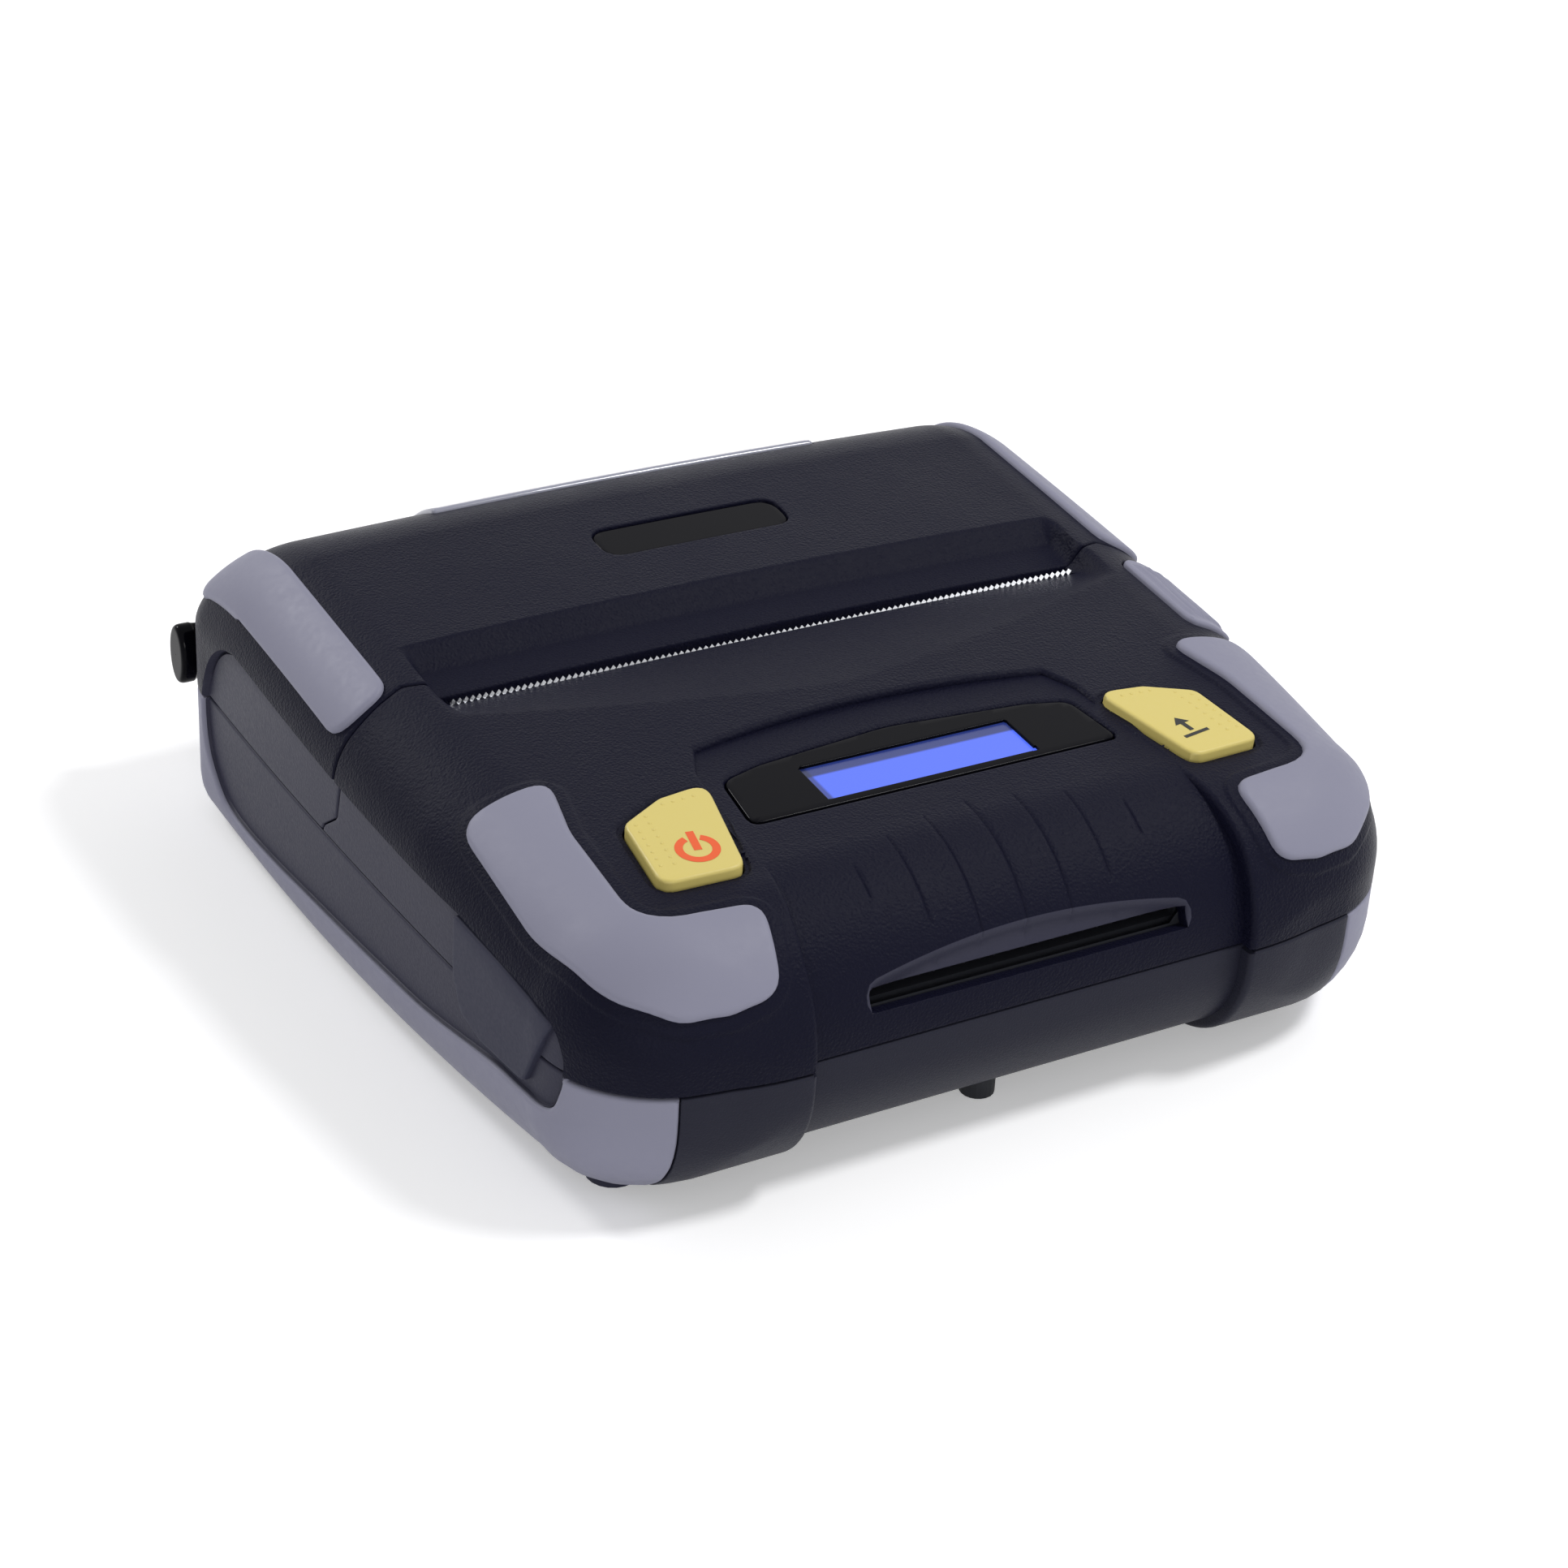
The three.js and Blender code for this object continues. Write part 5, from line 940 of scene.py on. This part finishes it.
def rib_offset(p, x):
    """Signed distance across one of the release button's wavy ribs."""
    return p[:, 0] - x - RIB_WAVE * np.sin((p[:, 1] - RIB_MIDDLE_Y) * RIB_WAVES)


def rib_field(p):
    along = np.maximum(np.abs(p[:, 1] - RIB_MIDDLE_Y) - RIB_REACH, 0)
    return np.min([np.hypot(rib_offset(p, x), along) for x in RIB_PLACES], axis=0)


def release_key():
    skin = clipped(hull, release_field, RELEASE_EASE)
    for x in RIB_PLACES:
        skin = lined(skin, lambda p: rib_offset(p, x), LINE_SHARES * RIB_HALF)
    away = np.clip(rib_field(skin.points) / RIB_HALF, 0, 1)
    drop = edge_drop(release_field(skin.points), RELEASE_EASE) - RELEASE_PROUD
    drop -= RIB_HEIGHT * np.cos(away * math.pi / 2)
    made = skin_object("release_cap", skin, drop, RUBBER, RELEASE_RIM)
    place(made, "release_key", "bumper_rubber", "release_button")


LINING_GAP, LINING_BAND_GAP, LINING_SLOT_GAP, SUNKEN_SIDE = 1, 3.0, 0.5, 2


def lining(name, body, field, source=hull_inner):
    skin = kept(source, field)
    place(mesh_object(name, skin.points, skin.faces[:, ::-1], INNER), body, "case_plastic")


def sunken(p, value):
    """A value on the sunken strip around the paper outlet, which leaves no room for a lining."""
    x, _, z = abs_x(p).T
    return np.where((z > TOP_Z) & (x < DIP_HALF + SUNKEN_SIDE), value, -FAR)


def band_inside(p):
    x, _, z = abs_x(p).T
    area = np.where(z > BAND_PLAN_Z, outline_distance(p, BAND_OUTLINE), x - BAND_SIDE[0])
    return np.maximum(-slot_field(p) - LINING_SLOT_GAP, area)


def inside():
    """The inner faces of the shells."""
    lining("cover_lining", "cover", lambda p: most([
        PARTING_Z - p[:, 2], LINING_GAP - joint_field(p), LINING_GAP - window_field(p),
        sunken(p, STEP_TOP_Y + LINING_GAP - p[:, 1])]))
    lining("base_lining", "case", lambda p: most([p[:, 2] - PARTING_Z, LINING_BAND_GAP - band_field(p)]))
    lining("front_lining", "case", lambda p: most([
        PARTING_Z - p[:, 2], joint_field(p) + LINING_GAP, LINING_GAP - outlet_field(p),
        LINING_BAND_GAP - band_field(p), LINING_GAP - key_field(p), LINING_GAP - release_field(p),
        sunken(p, p[:, 1] - dip_line(p[:, 0]))]))
    lining("band_lining", "case", band_inside, band_skin(WALL, INNER_GRID))


SCREEN_HALF, SCREEN_FRONT_Y, SCREEN_BACK_Y = 18.7, -44.0, -34.5
LENS_EDGE, SCREEN_EDGE, LENS_SUNK, LENS_RIM, GLOW_SUNK, GLOW_LAP = 0.25, 0.1, 0.1, 0.9, 0.6, 1.5


def screen_field(p):
    x, y, z = abs_x(p).T
    return np.where(z > FRONT_ROLL_Z, most([x - SCREEN_HALF, SCREEN_FRONT_Y - y, y - SCREEN_BACK_Y]), FAR)


def display():
    cuts = [(lens_field, LENS_EDGE), (lambda p: -screen_field(p), SCREEN_EDGE)]
    skin = trimmed(band_skin(), cuts)
    made = skin_object("display_lens", skin, trim_drop(skin.points, cuts) + LENS_SUNK, GLOSS, LENS_RIM)
    place(made, "case", "gloss_trim", "lcd_lens")
    skin = kept(band_skin(), lambda p: screen_field(p) - GLOW_LAP)
    made = skin_object("display_glow", skin, np.full(len(skin.points), GLOW_SUNK), SCREEN, 0)
    place(made, "case", "screen", "lcd_module")


# Key marks: a ring with a bar, an arrow with a sheet, and rows of small dots

KEY_TURN, MARK_LIFT = math.radians(10.6), 0.04
POWER_SPOT, RING_OUTER, RING_INNER, RING_OPEN, RING_POINTS = (-44.2, -49.9), 3.4, 2.15, math.radians(24), 41
BAR_HALF, BAR_TOP, BAR_BOTTOM, BAR_POINTS = 0.62, 4.3, -0.4, 6
FEED_SPOT = (43.2, -48.6)
FEED_MARKS = (
    ("shaft", [(-0.45, -1.6), (-0.45, 0.6)], [(0.45, -1.6), (0.45, 0.6)]),
    ("head", [(-1.5, 0.6), (0, 2.4)], [(1.5, 0.6), (0.01, 2.4)]),
    ("sheet", [(-2.6, -2.9), (2.6, -2.9)], [(-2.6, -2.2), (2.6, -2.2)]))
DOT_CORNERS, DOT_INSETS = np.array([(34.4, -33.9), (50.6, -34.2), (53.2, -54.6)]), (1.7, 3.8)
DOT_RADIUS, DOT_PITCH, DOT_MARGIN, DOT_START_GAP, DOT_END_GAP = 0.3, 1.75, 1.3, 2.4, 3.0
DOME_SIDES, DOME_RINGS, DOME_HEIGHT = 8, ((1.0, 0.0), (0.8, 0.6), (0.45, 0.9)), 0.5


def lifted(points, proud):
    return np.column_stack([points, surface_z(*points.T) + proud])


def strip_mark(name, inner, outer, look, body):
    """A flat mark between two lines of plan points, laid on a key."""
    points = lifted(join(inner, outer), KEY_PROUD + MARK_LIFT)
    place(mesh_object(name, points, lattice_faces(2, len(inner)), look), body, "button_rubber")


def turned(points, spot, angle):
    c, s = math.cos(angle), math.sin(angle)
    x, y = np.asarray(points, float).T
    return np.stack([spot[0] + c * x - s * y, spot[1] + s * x + c * y], 1)


def circle(count):
    turn = np.linspace(0, math.pi * 2, count + 1)[:-1]
    return np.stack([np.cos(turn), np.sin(turn)], 1)


def key_marks():
    turn = np.linspace(math.pi / 2 + RING_OPEN, math.pi * 2.5 - RING_OPEN, RING_POINTS)
    ring = np.stack([np.cos(turn), np.sin(turn)], 1)
    outer, inner = (turned(ring * radius, POWER_SPOT, -KEY_TURN) for radius in (RING_OUTER, RING_INNER))
    strip_mark("power_ring", outer, inner, ORANGE, "power_key")
    steps = np.linspace(BAR_BOTTOM, BAR_TOP, BAR_POINTS)
    edges = (np.stack([steps * 0 + x, steps], 1) for x in (BAR_HALF, -BAR_HALF))
    right, left = (turned(edge, POWER_SPOT, -KEY_TURN) for edge in edges)
    strip_mark("power_bar", right, left, ORANGE, "power_key")
    for word, *sides in FEED_MARKS:
        first, second = (turned(side, FEED_SPOT, KEY_TURN) for side in sides)
        strip_mark(f"feed_{word}", first, second, INK, "feed_key")


def row_of_dots(inset):
    """Places along a bent line that runs a distance inside two sides of the key."""
    a, b, c = DOT_CORNERS
    lines = []
    for start, end in ((a, b), (b, c)):
        length = np.linalg.norm(end - start)
        way = (end - start) / length
        inward = np.array([way[1], -way[0]])
        lines.append((start + inward * inset, way, length))
    (p0, w0, _), (p1, w1, last_length) = lines
    share = np.linalg.solve(np.stack([w0, -w1], 1), p1 - p0)
    corner = p0 + w0 * share[0]
    spots = [corner]
    for way, length in ((-w0, share[0] - DOT_START_GAP), (w1, last_length - share[1] - DOT_END_GAP)):
        count = int(max(length, 0) / DOT_PITCH)
        spots += [corner + way * DOT_PITCH * (i + 1) for i in range(count)]
    return spots


def dome(spot, side):
    """A small round dot on a key."""
    plan = [spot + DOT_RADIUS * share * circle(DOME_SIDES) for share, _ in DOME_RINGS]
    plan = join(*plan, [spot])
    height = np.repeat([share for _, share in DOME_RINGS], DOME_SIDES)
    height = join(height, [1.0]) * DOT_RADIUS * DOME_HEIGHT
    plan[:, 0] *= side
    points = lifted(plan, KEY_PROUD) + np.stack([height * 0, height * 0, height], 1)
    around = np.arange(DOME_SIDES)
    last = (len(DOME_RINGS) - 1) * DOME_SIDES
    tip = np.stack([last + around, last + (around + 1) % DOME_SIDES, around * 0 + last + DOME_SIDES], 1)
    faces = join(lattice_faces(len(DOME_RINGS), DOME_SIDES, wrap_columns=True), tip)
    return points, (faces if side > 0 else faces[:, ::-1])


def key_dots():
    spots = [spot for inset in DOT_INSETS for spot in row_of_dots(inset)]
    on_key = [spot for spot in spots if outline_distance(np.array([[*spot, 0]]), KEY)[0] < -DOT_MARGIN]
    for word, side in KEY_SIDES:
        domes = [dome(spot, side) for spot in on_key]
        points = np.concatenate([spots for spots, _ in domes])
        faces = np.concatenate([tris + i * len(spots) for i, (spots, tris) in enumerate(domes)])
        place(mesh_object(f"{word}_dots", points, faces, YELLOW), f"{word}_key", "button_rubber")


# Tear bar: a thin steel strip with fine teeth

TEAR_HALF, TEAR_PITCH, TEAR_THICK, TEAR_HEIGHT, TOOTH = 58.0, 1.12, 0.9, 3.6, 0.75


def tear_bar():
    count = round(TEAR_HALF * 2 / TEAR_PITCH)
    xs = np.linspace(-TEAR_HALF, TEAR_HALF, count * 2 + 1)
    tops = np.where(np.arange(len(xs)) % 2 == 1, TEAR_Z, TEAR_Z - TOOTH)
    foot, front_y = TEAR_Z - TEAR_HEIGHT + xs * 0, TEAR_Y - TEAR_THICK
    lines = ((TEAR_Y, foot), (TEAR_Y, tops), (front_y, tops), (front_y, foot))
    points = np.concatenate([np.stack([xs, xs * 0 + y, zs], 1) for y, zs in lines])
    n = len(xs)
    first, last = (np.array([[e, n + e, 2 * n + e], [e, 2 * n + e, 3 * n + e]]) for e in (0, n - 1))
    faces = join(lattice_faces(len(lines), n, wrap_rows=True), first[:, ::-1], last)
    place(mesh_object("tear_teeth", points, faces[:, ::-1], STEEL), "case", "steel", "tear_bar")


# Strap posts: an oval end plate with rounded edges on a neck that widens into it. Each place of
# the line has the distance from the middle, then the shares of the half width and half height.

POST_Y, POST_Z, POST_HALF_Y, POST_HALF_Z, POST_SIDES, POST_END_X = 76.0, 25.7, 3.4, 5.5, 48, 77.4
POST_LINE = [(66, 0.5, 0.97), (72.6, 0.5, 0.97), (73.6, 0.56, 0.97), (74.3, 0.72, 0.98), (74.7, 0.95, 1.0),
             (75.1, 1.0, 1.0), (76.4, 1.0, 1.0), (77.0, 0.95, 0.97), (77.3, 0.86, 0.91), (77.4, 0.7, 0.8),
             (77.4, 0.35, 0.4), (77.4, 0.02, 0.02)]


def strap_posts():
    around, upward = circle(POST_SIDES).T
    rings = []
    for x, wide, tall in smoothed(POST_LINE, steps=4):
        ys, zs = POST_Y + POST_HALF_Y * wide * around, POST_Z + POST_HALF_Z * tall * upward
        rings.append(np.stack([ys * 0 + min(x, POST_END_X), ys, zs], 1))
    points, faces = np.concatenate(rings), lattice_faces(len(rings), POST_SIDES, wrap_columns=True)
    for word, side in SIDES:
        made = mesh_object(f"strap_post_{word}_skin", points * np.array([side, 1, 1]),
                           faces if side > 0 else faces[:, ::-1], GLOSS)
        place(made, "case", "gloss_trim", f"strap_post_{word}")


# Looks of the pieces that keep the shape of the solids, by the start of their names

LOOKS = (
    (STEEL, ("head_bracket", "platen_shaft", "stepper_motor", "gear_plate", "comm_port", "hinge_pin",
             "release_latch", "head_spring", "housing_screw")),
    (NYLON, ("platen_gear", "idler_gear", "platen_bearing")),
    (INNER, ("paper_trough", "card_reader", "battery_pack", "battery_latch")),
    (BRASS, ("motor_pinion", "battery_contacts")),
    (BOARD, ("main_board", "keypad_board")),
    (CERAMIC, ("print_head",)), (ALUMINIUM, ("head_heatsink",)), (PLATEN, ("platen_roller",)),
    (SOFT, ("rubber_foot",)),
)


def carried_over():
    for name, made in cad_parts.items():
        for look, starts in LOOKS:
            if name.startswith(starts):
                made.data.materials.clear()
                made.data.materials.append(look)


# Camera at the photograph's angle

FOCAL_PIXELS, IMAGE_PIXELS, SENSOR = 4200.0, 1932.0, 36.0
AZIMUTH, ELEVATION, ROLL = math.radians(-31.07), math.radians(29.75), math.radians(3.41)
DISTANCE, SHIFT_RIGHT, SHIFT_UP = 576.0, 2.1, 16.2
FRAME_ORIGIN = Vector((0, 2.5, 1.7))


def add_camera():
    back = Vector((math.sin(AZIMUTH) * math.cos(ELEVATION), -math.cos(AZIMUTH) * math.cos(ELEVATION),
                   math.sin(ELEVATION)))
    right = Vector((0, 0, 1)).cross(back).normalized()
    up = back.cross(right)
    r = math.cos(ROLL) * right + math.sin(ROLL) * up
    u = -math.sin(ROLL) * right + math.cos(ROLL) * up
    data = bpy.data.cameras.new("camera")
    data.sensor_width = SENSOR
    data.lens = FOCAL_PIXELS * SENSOR / IMAGE_PIXELS
    data.clip_start = 0.01
    made = add_object("camera", data)
    spot = (back * DISTANCE + r * SHIFT_RIGHT + u * SHIFT_UP + FRAME_ORIGIN) * MM
    rows = [(r[i], u[i], back[i], spot[i]) for i in range(3)]
    made.matrix_world = Matrix((*rows, (0, 0, 0, 1)))
    scene.camera = made


# Lights, floor and background: lengths in metres

FLOOR_HALF, FLOOR_LIFT, WORLD_STRENGTH = 4.0, 0.3, 0.42
LIGHT_TARGET = Vector((0, 0, 0.02))
LIGHTS = (("key", (0.43, -0.26, 0.82), 0.2, 4.2), ("rim", (-0.34, 0.7, 0.56), 0.2, 2.6),
          ("fill", (-0.35, -0.9, 0.3), 0.3, 1.6))


def add_light(name, spot, size, power):
    data = bpy.data.lights.new(name, "AREA")
    data.shape = "DISK"
    data.size = size
    data.energy = power
    made = add_object(name, data)
    made.location = spot
    made.rotation_euler = (LIGHT_TARGET - Vector(spot)).to_track_quat("-Z", "Y").to_euler()


def seen_white(tree):
    """One for camera, mirror and see-through rays, which show the plain background."""
    path = add_node(tree, "LightPath").outputs
    seen = add_maths(tree, "MAXIMUM", path["Is Camera Ray"], path["Is Glossy Ray"])
    return add_maths(tree, "MAXIMUM", seen, path["Is Transmission Ray"])


def add_stage():
    mesh = bpy.data.meshes.new("floor")
    corners = [(x * FLOOR_HALF, y * FLOOR_HALF, 0) for x, y in ((-1, -1), (1, -1), (1, 1), (-1, 1))]
    mesh.from_pydata(corners, [], [(0, 1, 2, 3)])
    floor = add_object("floor", mesh)
    pale, tree, shader = material("pale_floor", (0.92, 0.92, 0.93), 0.9)
    glow = map_range(tree, seen_white(tree), 0, 1, 0, FLOOR_LIFT)
    set_inputs(tree, shader, {"Emission Color": (1, 1, 1, 1), "Emission Strength": glow})
    mesh.materials.append(pale)
    world = bpy.data.worlds.new("studio")
    scene.world = world
    world.use_nodes = True
    tree = world.node_tree
    strength = map_range(tree, seen_white(tree), 0, 1, WORLD_STRENGTH, 1.0)
    set_inputs(tree, tree.nodes["Background"], {"Color": (1, 1, 1, 1), "Strength": strength})
    scene.view_settings.view_transform = "Standard"
    for light in LIGHTS:
        add_light(*light)


upper_case()
band_upper()
lower_case()
cover()
fitted_pieces()
display()
key_marks()
key_dots()
tear_bar()
strap_posts()
inside()
carried_over()
add_camera()
add_stage()
